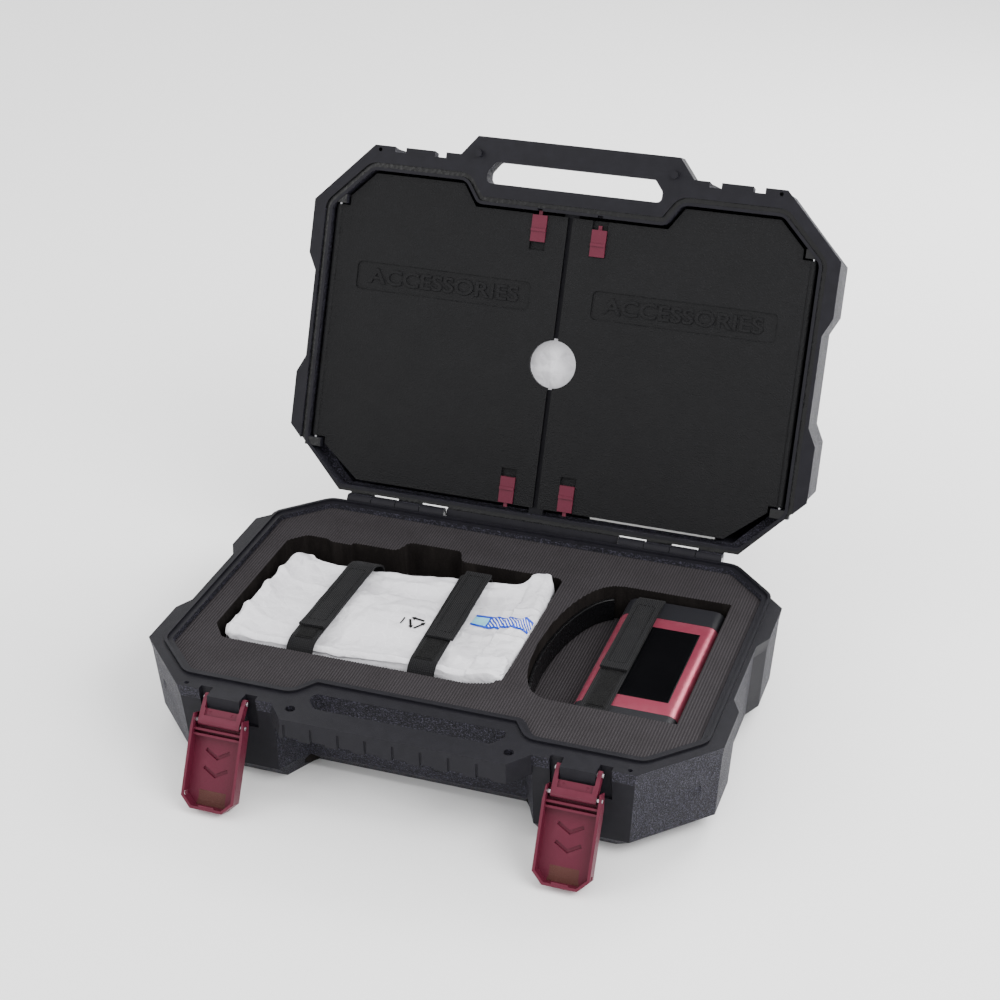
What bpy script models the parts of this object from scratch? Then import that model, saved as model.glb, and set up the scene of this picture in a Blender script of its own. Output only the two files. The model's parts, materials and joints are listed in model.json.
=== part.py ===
"""Handheld vector network analyzer packed in its open carry case.

Frame: metres, +X right, +Y to the hinge side, +Z up, origin under the middle of the base.
The lid is modelled shut, in the frame of an empty on the hinge axis, and the empty opens it.
"""
import math
import bpy
import bmesh
from mathutils import Vector

# ---- case: outline and heights -------------------------------------------------------------
CASE_W = 0.440
CASE_D = 0.288
CORNER_X = 0.0483
CORNER_Y = 0.0496
WAIST_DEPTH = 0.007
WAIST_OUT = 0.050
WAIST_IN = 0.036
BASE_H = 0.076
LID_H = 0.076
RIM_GAP = 0.0006
FLANGE_T = 0.010
WALL = 0.0075
SKIN = 0.0035
FOOT_INSET = 0.018
FOOT_H = 0.014
FOOT_SIDE = 0.005
FLANGE_DRAFT = 0.0015
LID_DRAFT = 0.0035
LID_EDGE = 0.010
LID_CROWN = 0.013
HOLLOW_DROP = 0.002

# ---- inner opening of both halves ----------------------------------------------------------
MARGIN_X = 0.0175
MARGIN_FRONT = 0.0215
MARGIN_BACK = 0.0065
INNER_CHAMFER = 0.032
INNER_ROUND = 0.008
STEP_X = 0.079
STEP_SLANT = 0.012
STEP_DEPTH = 0.0175
SEAL_OFFSET = 0.0042
SEAL_W = 0.0024
SEAL_H = 0.0018
SEAL_PLAY = 0.0007

# ---- carrying handle -----------------------------------------------------------------------
HANDLE_REACH = 0.016
HANDLE_X = 0.084
HANDLE_ROOT_X = 0.097
HANDLE_T = 0.0165
HANDLE_ROOT = 0.004
GRIP_X = 0.073
GRIP_SLANT = 0.007
GRIP_DEPTH = 0.018
GRIP_SETBACK = 0.021
GRIP_ROUND = 0.004
PEG_X = 0.0815
PEG_Y = 0.002
PEG_R = 0.003
PEG_H = 0.004
PEG_PLAY = 0.0006

# ---- hinge ---------------------------------------------------------------------------------
HINGE_OFFSET = 0.0055
HINGE_START_X = 0.075
KNUCKLE_L = 0.0208
KNUCKLE_GAP = 0.0006
KNUCKLE_COUNT = 4
KNUCKLE_R = 0.0052
KNUCKLE_ROOT = 0.003
KNUCKLE_RISE = 0.0004
KNUCKLE_PLAY = 0.0006
HINGE_PIN_R = 0.0020
SILL_X = 0.0735
SILL_T = 0.0055
SILL_PAST = 0.0040
SILL_OUT = 0.0025
SILL_PLAY = 0.0004
LID_ANGLE = 112.8

# ---- latches -------------------------------------------------------------------------------
LATCH_X = 0.132
LATCH_PIN_R = 0.0015
ARM_IN = 0.0132
ARM_T = 0.0030
ARM_R = 0.0032
LINK_L = 0.0170
LINK_ANGLE = 45.0
PIVOT_OUT = 0.0015
PIVOT_DROP = 0.0045
BLOCK_HALF = 0.0126
BLOCK_REACH = 0.0065
BLOCK_T = 0.0095
SLOT_HALF = 0.0222
SLOT_DEPTH = 0.0045
SLOT_DROP = 0.026
WEB_START = 0.0080
WEB_END = 0.0135
WEB_T = 0.0030
WEB_RADIUS = 0.0008
PIN_PROUD = 0.001
LEVER_NECK = 0.0012
LEVER_W = 0.041
LEVER_WALL = 0.0020
LEVER_TIP = 0.063
LEVER_TOP = 0.005
LEVER_FRONT = 0.005
LEVER_BACK = 0.0056
LEVER_FLOOR_START = 0.004
LEVER_CHAMFER = 0.008
LEVER_ANGLE = 27.0

# ---- accessory doors in the lid ------------------------------------------------------------
DOOR_RECESS = 0.0045
DOOR_T = 0.0035
DOOR_GAP = 0.002
DOOR_PLAY = 0.0015
DOOR_REST = 0.0008
LIP = 0.001
DOOR_AXIS_IN = 0.004
DOOR_BARREL_R = 0.0030
DOOR_PIN_R = 0.0013
DOOR_PIN_L = 0.016
BOSS_W = 0.009
BOSS_L = 0.007
BOSS_PLAY = 0.0025
RAIL_HALF = 0.006
RAIL_T = 0.0027
BOSS_FROM_FRONT = 0.0500
BOSS_FROM_BACK = 0.0410
FINGER_HOLE_R = 0.0195
FINGER_HOLE_V = 0.1345
LABEL_X = 0.026
LABEL_W = 0.151
LABEL_V = 0.1745
LABEL_H = 0.0235
LABEL_DEPTH = 0.0010
LABEL_ROUND = 0.004

# ---- door sliders --------------------------------------------------------------------------
SLIDER_X = 0.0253
SLIDER_W = 0.0124
SLIDER_L = 0.0215
SLIDER_PROUD = 0.0012
SLIDER_RIB = 0.0011
SLIDER_TRAVEL = 0.0065
SLOT_POCKET = 0.0022
STEM_W = 0.0034
STEM_L = 0.008
BOLT_W = 0.0030
BOLT_OUT = 0.0035
BOLT_PLAY = 0.0008
CLIP_T = 0.0012

# ---- foam ----------------------------------------------------------------------------------
FOAM_DROP = 0.004
FOAM_SPLIT = 0.042
FIT_GAP = 0.0004
BOW_FAR_X = 0.097
BOW_NEAR_X = 0.087
BOW_DEPTH = 0.035
BOW_POWER = 0.42
BOW_STEPS = 16
VNA_MARGIN = 0.002
VNA_ROOM = 0.0065
POCKET_PLAY = 0.0035
POCKET_CUT = 0.012
POCKET_ROUND = 0.006
NOTCH_X = (-0.088, -0.043)
NOTCH_SLANT = 0.005
NOTCH_DEPTH = 0.015
STEP_AT = (-0.149, -0.131)
STEP_IN = 0.0035
LINER_T = 0.0028
LINER_H = 0.019
LINER_NEAR_Y = -0.055

# ---- wrapped unit --------------------------------------------------------------------------
BAG_X = (-0.180, 0.044)
BAG_Y = (-0.066, 0.084)
BAG_SLANT = 0.021
BAG_H = 0.0320
BAG_MARGIN = 0.005
BAG_FILM = 0.0012
BAG_ROUND = 0.016
BAG_EDGE = 0.008
BAG_DRAW = 0.006
UNIT_X = (-0.152, 0.020)
UNIT_Y = (-0.054, 0.057)
UNIT_T = 0.022
UNIT_ROUND = 0.008

# ---- analyzer ------------------------------------------------------------------------------
VNA_X = 0.1398
VNA_W = 0.0785
VNA_T = 0.025
VNA_Y = (-0.068, 0.087)
CAP_NEAR = 0.010
CAP_FAR = 0.0225
VNA_ROUND = 0.0085
VNA_SKIN = 0.0018
VNA_SIDE = 0.0055
GLASS_W = 0.054
GLASS_Y = (-0.0425, 0.0515)
GLASS_T = 0.0016
GLASS_SUNK = 0.0001
SCREW_R = 0.0012
SCREW_HEAD_R = 0.0021
SCREW_L = 0.017
SCREW_ROOM = 0.002
PORT_R = 0.0032
PORT_FLANGE_R = 0.0045
PORT_SEAT = 0.0010
PORT_WALL = 0.0009
PORT_BORE = 0.005
PORT_X = (0.000, 0.026)
PORT_OUT = 0.0048
BUTTON_R = 0.0032
BUTTON_PROUD = 0.0012
BUTTON_DEPTH = 0.0030
BUTTON_ROOM = 0.0015
BUTTON_X = -0.012
SCREW_HEAD_H = 0.0015
USB_X = 0.010
USB_SIZE = (0.0090, 0.0034)
USB_MOUTH = (0.0078, 0.0022)
MODULE_T = 0.0040
MODULE_HALF = 0.0255
BOARD_T = 0.0016
BOARD_HALF = 0.0300
CAN_HALF = 0.016
CAN_Y = (0.016, 0.054)
CAN_H = 0.0035
CELL_HALF = 0.028
CELL_Y = (-0.050, 0.008)

# ---- straps --------------------------------------------------------------------------------
STRAP_W = 0.0213
STRAP_SLACK = 0.0012
STRAP_EDGE = 0.0004
OUTER_X = -0.1095
OUTER_FLAP = (0.052, -0.0445)
OUTER_PATCH = (-0.058, -0.020)
INNER_X = -0.0150
INNER_FLAP = (0.062, -0.030)
INNER_PATCH = (-0.057, -0.012)
VNA_STRAP_X = 0.1190
VNA_FLAP = (0.078, -0.017)
VNA_PATCH = (-0.065, -0.018)
STRAP_T = 0.0014
FLAP_T = 0.0022
PATCH_T = 0.0006
PATCH_W = 0.0145

POUCH_HALF = 0.100
POUCH_V = (0.024, 0.165)
POUCH_N = (0.016, 0.058)
POUCH_ROUND = 0.012
POUCH_DRAW = 0.008
POUCH_EDGE = 0.010
GUIDE_X = (0.045, 0.150)
GUIDE_V = (0.0135, 0.160)
GUIDE_N = 0.0118
GUIDE_T = 0.0015

RUN = 0.0003          # gap between a piece and what it touches
BORE_PLAY = 0.0003    # radial play of a pin in its bore
OVERRUN = 0.004       # how far a cutter passes the face that it opens

RIM = BASE_H
HALF_W = CASE_W / 2
HALF_D = CASE_D / 2
HINGE_Y = HALF_D + HINGE_OFFSET
FRONT_Y = -HALF_D
BOSS_TOP_Y = FRONT_Y + BOSS_FROM_FRONT
BOSS_LOW_Y = HALF_D - BOSS_FROM_BACK
SETBACK_Y = FRONT_Y + GRIP_SETBACK
FOAM_TOP_Z = RIM - FOAM_DROP
DOOR_AXIS_X = HALF_W - MARGIN_X - DOOR_AXIS_IN
DOOR_AXIS_N = DOOR_RECESS + DOOR_T / 2
DOOR_NOTCH_X = DOOR_AXIS_X - BOSS_W
DOOR_FRONT_Y = FRONT_Y + MARGIN_FRONT + DOOR_PLAY
DOOR_TOP_Y = DOOR_FRONT_Y + STEP_DEPTH
DOOR_BACK_Y = HALF_D - MARGIN_BACK - 3 * DOOR_PLAY


# ---- helpers -------------------------------------------------------------------------------
def clear_scene():
    for obj in list(bpy.data.objects):
        bpy.data.objects.remove(obj, do_unlink=True)


def material(name, colour, roughness, metallic=0.0):
    mat = bpy.data.materials.new(name)
    mat.use_nodes = True
    shader = mat.node_tree.nodes["Principled BSDF"]
    shader.inputs["Base Color"].default_value = (*colour, 1.0)
    shader.inputs["Roughness"].default_value = roughness
    shader.inputs["Metallic"].default_value = metallic
    return mat


def place(name, bm, mat, parent=None, location=(0, 0, 0), turn_x=0.0, smooth=True):
    """Turn a bmesh into a named object, with its faces out and its round faces smooth."""
    bmesh.ops.recalc_face_normals(bm, faces=bm.faces)
    mesh = bpy.data.meshes.new(name)
    bm.to_mesh(mesh)
    bm.free()
    if smooth:
        mesh.shade_smooth()
        mesh.set_sharp_from_angle(angle=math.radians(35))
    obj = bpy.data.objects.new(name, mesh)
    bpy.context.collection.objects.link(obj)
    if mat is not None:
        mesh.materials.append(mat)
    obj.parent = parent
    obj.location = location
    obj.rotation_euler = (math.radians(turn_x), 0, 0)
    return obj


def empty(name, location, parent=None, turn_x=0.0):
    obj = bpy.data.objects.new(name, None)
    bpy.context.collection.objects.link(obj)
    obj.parent = parent
    obj.location = location
    obj.rotation_euler = (math.radians(turn_x), 0, 0)
    return obj


def fillet(points, radius, steps=3):
    """Round every corner of a closed outline with an arc, as far as its sides leave room."""
    out = []
    count = len(points)
    for i in range(count):
        corner = Vector(points[i])
        back = Vector(points[i - 1]) - corner
        ahead = Vector(points[(i + 1) % count]) - corner
        half = back.angle(ahead) / 2
        reach = min(radius / math.tan(half), 0.45 * min(back.length, ahead.length))
        r = reach * math.tan(half)
        back.normalize()
        ahead.normalize()
        centre = corner + (back + ahead).normalized() * (r / math.sin(half))
        first = corner + back * reach - centre
        last = corner + ahead * reach - centre
        span = math.pi - 2 * half
        for k in range(steps + 1):
            t = k / steps
            spoke = (first * math.sin((1 - t) * span) + last * math.sin(t * span)) / math.sin(span)
            out.append(tuple(centre + spoke))
    return out


def offset(points, distance):
    """Grow (or, when negative, shrink) a counter-clockwise outline by the same distance all round."""
    out = []
    count = len(points)
    for i in range(count):
        before, here, after = (Vector(points[j % count]) for j in (i - 1, i, i + 1))
        a = (here - before).normalized()
        b = (after - here).normalized()
        normal_a = Vector((a.y, -a.x))
        normal_b = Vector((b.y, -b.x))
        mitre = (normal_a + normal_b).normalized()
        out.append(tuple(here + mitre * (distance / max(mitre.dot(normal_a), 0.2))))
    return out


def drawn_in(points, distance):
    """An outline scaled about the origin so that its furthest points come in by the distance."""
    wide = max(abs(x) for x, _ in points)
    deep = max(abs(y) for _, y in points)
    return [(x * (1 - distance / wide), y * (1 - distance / deep)) for x, y in points]


def mirror_x(points):
    """The other half of an outline whose right half runs from the front to the back."""
    return points + [(-x, y) for x, y in reversed(points)]


def loft(rings):
    """A closed body through rings of the same number of points, capped at both ends."""
    bm = bmesh.new()
    loops = [[bm.verts.new(p) for p in ring] for ring in rings]
    bm.faces.new(list(reversed(loops[0])))
    bm.faces.new(loops[-1])
    for low, high in zip(loops, loops[1:]):
        for i in range(len(low)):
            j = (i + 1) % len(low)
            bm.faces.new((low[i], low[j], high[j], high[i]))
    return bm


def prism(outline, low, high):
    return loft([[(x, y, z) for x, y in outline] for z in (low, high)])


def ring_prism(outer, inner, low, high):
    """A flat ring between two outlines of the same number of points."""
    bm = bmesh.new()
    loops = [[bm.verts.new((x, y, z)) for x, y in outline]
             for outline, z in ((inner, low), (outer, low), (outer, high), (inner, high))]
    for a, b in zip(loops, loops[1:] + loops[:1]):
        for i in range(len(a)):
            j = (i + 1) % len(a)
            bm.faces.new((a[i], a[j], b[j], b[i]))
    return bm


def prism_x(outline, low, high):
    """Extrude an outline given in (y, z) along X."""
    return loft([[(x, y, z) for y, z in outline] for x in (low, high)])


def prism_y(outline, low, high):
    """Extrude an outline given in (x, z) along Y."""
    return loft([[(x, y, z) for x, z in outline] for y in (low, high)])


def block(x, y, z):
    """A box between two X, two Y and two Z values."""
    return prism([(x[0], y[0]), (x[1], y[0]), (x[1], y[1]), (x[0], y[1])], z[0], z[1])


def circle(centre, radius, sides=24):
    turn = 2 * math.pi / sides
    return [(centre[0] + radius * math.cos(i * turn), centre[1] + radius * math.sin(i * turn))
            for i in range(sides)]


def rod_x(centre, radius, low, high, sides=20):
    return prism_x(circle(centre, radius, sides), low, high)


def rod_y(centre, radius, low, high, sides=20):
    return prism_y(circle(centre, radius, sides), low, high)


def rod_z(centre, radius, low, high, sides=20):
    return prism(circle(centre, radius, sides), low, high)


def combine(target, tool_bm, operation):
    """Add a Boolean modifier whose tool is a hidden helper in the target's own frame."""
    tool = place(target.name + "_tool", tool_bm, None, target.parent, target.location, smooth=False)
    tool.rotation_euler = target.rotation_euler
    tool.hide_render = True
    tool.display_type = "WIRE"
    change = target.modifiers.new(operation.lower(), "BOOLEAN")
    change.operation = operation
    change.solver = "EXACT"
    change.object = tool
    return tool


def cut(target, *tools):
    for tool_bm in tools:
        combine(target, tool_bm, "DIFFERENCE")


def weld(target, *tools):
    for tool_bm in tools:
        combine(target, tool_bm, "UNION")


# ---- outlines that both halves share ---------------------------------------------------------
def case_ring(inset, setback):
    """The case seen from above: an octagon with waisted sides and a set-back middle front."""
    x = HALF_W - inset
    y = HALF_D - inset
    waist = x - WAIST_DEPTH
    right = [
        (HANDLE_X, -setback),
        (HANDLE_ROOT_X, -y),
        (x - CORNER_X, -y),
        (x, -y + CORNER_Y),
        (x, -WAIST_OUT),
        (waist, -WAIST_IN),
        (waist, WAIST_IN),
        (x, WAIST_OUT),
        (x, y - CORNER_Y),
        (x - CORNER_X, y),
    ]
    return mirror_x(right)


def case_loft(levels):
    """Case walls through levels of (height, inset, setback of the middle front)."""
    return loft([[(x, y, z) for x, y in case_ring(inset, back)] for z, inset, back in levels])


def inner_outline(grow=0.0):
    """The opening inside the rim, with a step that leaves room for the grip."""
    x = HALF_W - MARGIN_X
    front = FRONT_Y + MARGIN_FRONT
    back = HALF_D - MARGIN_BACK
    right = [
        (STEP_X, front + STEP_DEPTH),
        (STEP_X + STEP_SLANT, front),
        (x - INNER_CHAMFER, front),
        (x, front + INNER_CHAMFER),
        (x, back - INNER_CHAMFER),
        (x - INNER_CHAMFER, back),
    ]
    outline = fillet(mirror_x(right), INNER_ROUND)
    return offset(outline, grow) if grow else outline


def handle_outline():
    edge = FRONT_Y - HANDLE_REACH
    inside = SETBACK_Y + HANDLE_ROOT
    right = [(HANDLE_X, edge), (HANDLE_ROOT_X, FRONT_Y), (HANDLE_ROOT_X, inside)]
    return mirror_x(right)


def grip_outline():
    front = SETBACK_Y - GRIP_DEPTH
    middle = (front + SETBACK_Y) / 2
    right = [
        (GRIP_X - GRIP_SLANT, front),
        (GRIP_X, middle),
        (GRIP_X, SETBACK_Y - RUN),
    ]
    return fillet(mirror_x(right), GRIP_ROUND)


def knuckle_spans(first, side):
    """The X ranges of one half's knuckles on one side: every other one, from number first."""
    spans = []
    for i in range(first, KNUCKLE_COUNT, 2):
        start = HINGE_START_X + i * (KNUCKLE_L + KNUCKLE_GAP)
        spans.append(tuple(sorted((side * start, side * (start + KNUCKLE_L)))))
    return spans


def knuckle(span, rise):
    """A barrel on the hinge axis with a foot that joins it to its half (rise is -1 or 1)."""
    foot = -HINGE_OFFSET - KNUCKLE_ROOT
    steps = 18
    outline = [(foot, KNUCKLE_RISE)]
    for k in range(steps + 1):
        angle = math.pi * (1 + 1.5 * k / steps)
        outline.append((KNUCKLE_R * math.cos(angle), KNUCKLE_R * math.sin(angle)))
    outline.append((foot, KNUCKLE_R))
    return prism_x([(y, rise * z) for y, z in outline], *span)


def shifted(bm, dx=0.0, dy=0.0, dz=0.0):
    bmesh.ops.translate(bm, verts=bm.verts, vec=(dx, dy, dz))
    return bm


# ---- materials -------------------------------------------------------------------------------
def make_materials():
    return {
        "shell": material("case_plastic", (0.035, 0.034, 0.038), 0.55),
        "door": material("door_plastic", (0.022, 0.022, 0.024), 0.6),
        "maroon": material("latch_plastic", (0.19, 0.016, 0.035), 0.4),
        "steel": material("pin_steel", (0.55, 0.55, 0.56), 0.3, 1.0),
        "foam": material("case_foam", (0.075, 0.068, 0.067), 0.95),
        "liner": material("liner_plastic", (0.01, 0.01, 0.011), 0.3),
        "film": material("bag_film", (0.78, 0.77, 0.8), 0.35),
        "unit": material("unit_plastic", (0.08, 0.08, 0.085), 0.5),
        "webbing": material("strap_webbing", (0.018, 0.018, 0.019), 0.8),
        "hook": material("hook_patch", (0.012, 0.012, 0.012), 0.95),
        "sleeve": material("sleeve_metal", (0.42, 0.05, 0.085), 0.35, 0.7),
        "cap": material("cap_plastic", (0.03, 0.03, 0.034), 0.45),
        "glass": material("display_glass", (0.006, 0.006, 0.008), 0.08),
        "board": material("board_laminate", (0.02, 0.12, 0.05), 0.5),
        "cell": material("battery_wrap", (0.1, 0.12, 0.35), 0.4),
        "brass": material("port_brass", (0.75, 0.55, 0.2), 0.3, 1.0),
        "paper": material("guide_paper", (0.85, 0.85, 0.84), 0.8),
    }


# ---- base --------------------------------------------------------------------------------------
def make_base_shell(mats):
    setback = HALF_D - GRIP_SETBACK
    shell = place("base_shell", case_loft([
        (0.0, FOOT_INSET, setback - FOOT_INSET - FOOT_SIDE),
        (FOOT_H, FOOT_SIDE, setback - 2 * FOOT_SIDE),
        (RIM - FLANGE_T, FLANGE_DRAFT, setback - FLANGE_DRAFT),
        (RIM, 0.0, setback),
    ]), mats["shell"])
    weld(shell, prism(handle_outline(), RIM - HANDLE_T, RIM))
    for side in (-1, 1):
        x = side * LATCH_X
        weld(shell, block((x - BLOCK_HALF, x + BLOCK_HALF),
                          (FRONT_Y - BLOCK_REACH, FRONT_Y + HANDLE_ROOT), (RIM - BLOCK_T, RIM)))
        for span in knuckle_spans(1, side):
            cut(shell, shifted(rod_x((0, 0), KNUCKLE_R + KNUCKLE_PLAY, span[0] - KNUCKLE_GAP / 2,
                                     span[1] + KNUCKLE_GAP / 2), dy=HINGE_Y, dz=RIM))
        for span in knuckle_spans(0, side):
            weld(shell, shifted(knuckle(span, -1), dy=HINGE_Y, dz=RIM))
    weld(shell, block((-SILL_X, SILL_X), (HALF_D - KNUCKLE_ROOT, HALF_D + SILL_OUT),
                      (RIM - SILL_T, RIM - SILL_PLAY)))
    inner = inner_outline()
    weld(shell, ring_prism(inner_outline(SEAL_OFFSET + SEAL_W), inner_outline(SEAL_OFFSET),
                           RIM - LIP, RIM + SEAL_H))
    cut(shell, loft([
        [(x, y, SKIN) for x, y in drawn_in(inner, FOOT_H - SKIN)],
        [(x, y, SKIN + FOOT_H) for x, y in inner],
        [(x, y, RIM + OVERRUN) for x, y in inner],
    ]))
    cut(shell, prism(grip_outline(), RIM - HANDLE_T - OVERRUN, RIM + OVERRUN))
    for side in (-1, 1):
        x = side * LATCH_X
        cut(shell, rod_x((FRONT_Y - PIVOT_OUT, RIM - PIVOT_DROP), LATCH_PIN_R + BORE_PLAY,
                         x - SLOT_HALF + RUN, x + SLOT_HALF - RUN))
        for arm in (-1, 1):
            ends = sorted((x + arm * (BLOCK_HALF + RUN), x + arm * SLOT_HALF))
            cut(shell, block(ends, (FRONT_Y - BLOCK_REACH, FRONT_Y + SLOT_DEPTH),
                             (RIM - SLOT_DROP, RIM + OVERRUN)))
        cut(shell, rod_z((side * PEG_X, FRONT_Y - PEG_Y), PEG_R + PEG_PLAY, RIM - 2 * PEG_H, RIM + OVERRUN))
        spans = knuckle_spans(0, side)
        reach = [min(s[0] for s in spans) - OVERRUN, max(s[1] for s in spans) + OVERRUN]
        cut(shell, shifted(rod_x((0, 0), HINGE_PIN_R + BORE_PLAY, *reach, sides=16),
                           dy=HINGE_Y, dz=RIM))
    return shell


def make_hinge_pins(mats):
    length = KNUCKLE_COUNT * (KNUCKLE_L + KNUCKLE_GAP) - KNUCKLE_GAP
    for name, side in (("left", -1), ("right", 1)):
        ends = sorted((side * HINGE_START_X, side * (HINGE_START_X + length)))
        place(f"hinge_pin_{name}", rod_x((0, 0), HINGE_PIN_R, *ends, sides=16), mats["steel"],
              location=(0, HINGE_Y, RIM))


def unit_pocket():
    """The cut-out round the wrapped unit, with a stepped back wall and a finger notch in it."""
    left = BAG_X[0] - POCKET_PLAY
    right = BAG_X[1] + POCKET_PLAY
    front = BAG_Y[0] - BAG_MARGIN
    back = BAG_Y[1] + BAG_MARGIN
    notch_back = back + NOTCH_DEPTH
    return fillet([
        (left, front + BAG_ROUND), (left + POCKET_CUT, front), (right - 2 * POCKET_CUT, front),
        (right - POCKET_CUT / 2, front + POCKET_CUT / 2), (right, front + 2 * POCKET_CUT),
        (right, back),
        (NOTCH_X[1] + NOTCH_SLANT, back), (NOTCH_X[1], notch_back),
        (NOTCH_X[0], notch_back), (NOTCH_X[0] - NOTCH_SLANT, back),
        (STEP_AT[1], back), (STEP_AT[1], back - STEP_IN), (STEP_AT[0], back - STEP_IN),
        (STEP_AT[0] - NOTCH_SLANT, back), (left + POCKET_CUT, back), (left, back - POCKET_CUT),
    ], POCKET_ROUND)


def analyzer_pocket(shrink=0.0):
    """The D-shaped cut-out: a straight side by the analyzer and a bowed side for the hand."""
    right = VNA_X + VNA_W / 2 + VNA_MARGIN
    near = VNA_Y[0] - 2 * VNA_MARGIN
    far = VNA_Y[1] + VNA_ROOM
    outline = [(right, near), (right, far)]
    for k in range(BOW_STEPS + 1):
        t = (1 - math.cos(math.pi * k / BOW_STEPS)) / 2
        x = BOW_FAR_X + (BOW_NEAR_X - BOW_FAR_X) * t - BOW_DEPTH * (4 * t * (1 - t)) ** BOW_POWER
        outline.append((x, far + (near - far) * t))
    return offset(outline, -shrink) if shrink else outline


def make_foam(mats):
    inner = inner_outline(-FIT_GAP)
    top = place("foam_top", prism(inner, FOAM_SPLIT + RUN, FOAM_TOP_Z), mats["foam"])
    low, high = FOAM_SPLIT - OVERRUN, FOAM_TOP_Z + OVERRUN
    cut(top, prism(unit_pocket(), low, high))
    cut(top, prism(analyzer_pocket(), low, high))
    place("foam_floor", loft([
        [(x, y, SKIN + RUN) for x, y in drawn_in(inner, FOOT_H - SKIN + FIT_GAP)],
        [(x, y, SKIN + FOOT_H + RUN) for x, y in inner],
        [(x, y, FOAM_SPLIT) for x, y in inner],
    ]), mats["foam"])


def make_pocket_liner(mats):
    """A thin curved wall at the foot of the bowed side of the analyzer's pocket."""
    walls = zip(analyzer_pocket(RUN)[3:-1], analyzer_pocket(RUN + LINER_T)[3:-1])
    kept = [(outer, inner) for outer, inner in walls if outer[1] > LINER_NEAR_Y]
    outline = [outer for outer, inner in kept] + [inner for outer, inner in reversed(kept)]
    foot = FOAM_SPLIT + RUN
    place("pocket_liner", prism(outline, foot, foot + LINER_H), mats["liner"])


# ---- wrapped unit ---------------------------------------------------------------------------------
def bag_back(x):
    """Where the bag's slanted back edge is at x."""
    return BAG_Y[1] - BAG_SLANT * (BAG_X[1] - x) / (BAG_X[1] - BAG_X[0])


def make_wrapped_unit(mats):
    low = FOAM_SPLIT + RUN
    top = low + BAG_H
    outline = fillet([
        (BAG_X[0], BAG_Y[0]), (BAG_X[1], BAG_Y[0]), (BAG_X[1], bag_back(BAG_X[1])),
        (BAG_X[0], bag_back(BAG_X[0])),
    ], BAG_ROUND)
    bag = place("film_bag", loft([
        [(x, y, low) for x, y in offset(outline, -BAG_DRAW / 2)],
        [(x, y, low + BAG_EDGE) for x, y in outline],
        [(x, y, top - BAG_EDGE) for x, y in outline],
        [(x, y, top) for x, y in offset(outline, -BAG_DRAW)],
    ]), mats["film"])
    core_high = low + UNIT_T
    room_x = (UNIT_X[0] - BAG_FILM, UNIT_X[1] + BAG_FILM)
    room_y = (UNIT_Y[0] - BAG_FILM, UNIT_Y[1] + BAG_FILM)
    cut(bag, block(room_x, room_y, (low - OVERRUN, core_high + BAG_FILM)))
    body = [(UNIT_X[0], UNIT_Y[0]), (UNIT_X[1], UNIT_Y[0]), (UNIT_X[1], UNIT_Y[1]),
            (UNIT_X[0], UNIT_Y[1])]
    place("wrapped_unit", prism(fillet(body, UNIT_ROUND), low, core_high), mats["unit"])
    return top


# ---- straps ---------------------------------------------------------------------------------------
def make_strap(name, x, y, top, flap_y, patch, mats):
    """Webbing over a packed item, its hook patch, and a flap that peels off from the front."""
    half = STRAP_W / 2
    foot = FOAM_SPLIT + RUN
    low = top + RUN
    high = low + STRAP_T
    front, back = y[0] - STRAP_T - STRAP_SLACK, y[1] + STRAP_T + STRAP_SLACK
    over = [(front, foot), (front + STRAP_T, foot), (front + STRAP_T, low), (back - STRAP_T, low),
            (back - STRAP_T, foot), (back, foot), (back, high - STRAP_EDGE),
            (back - STRAP_EDGE, high), (front + STRAP_EDGE, high), (front, high - STRAP_EDGE)]
    place(f"{name}_webbing", prism_x(over, x - half, x + half), mats["webbing"])
    hook_low = high + RUN
    hook_x = (x - PATCH_W / 2, x + PATCH_W / 2)
    place(f"{name}_hook_patch", block(hook_x, patch, (hook_low, hook_low + PATCH_T)), mats["hook"])
    flap_low = hook_low + PATCH_T + RUN
    fold_y, flap_end = flap_y
    reach = flap_end - fold_y
    flap = [(0.0, 0.0), (0.0, FLAP_T - STRAP_EDGE), (-STRAP_EDGE, FLAP_T),
            (reach + STRAP_EDGE, FLAP_T), (reach, FLAP_T - STRAP_EDGE), (reach, 0.0)]
    place(f"{name}_flap", prism_x(flap, -half, half), mats["webbing"], location=(x, fold_y, flap_low))


# ---- analyzer -------------------------------------------------------------------------------------
def rounded_rect(width, height, radius, steps=4):
    w, h = width / 2, height / 2
    return fillet([(-w, -h), (w, -h), (w, h), (-w, h)], radius, steps)


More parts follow.
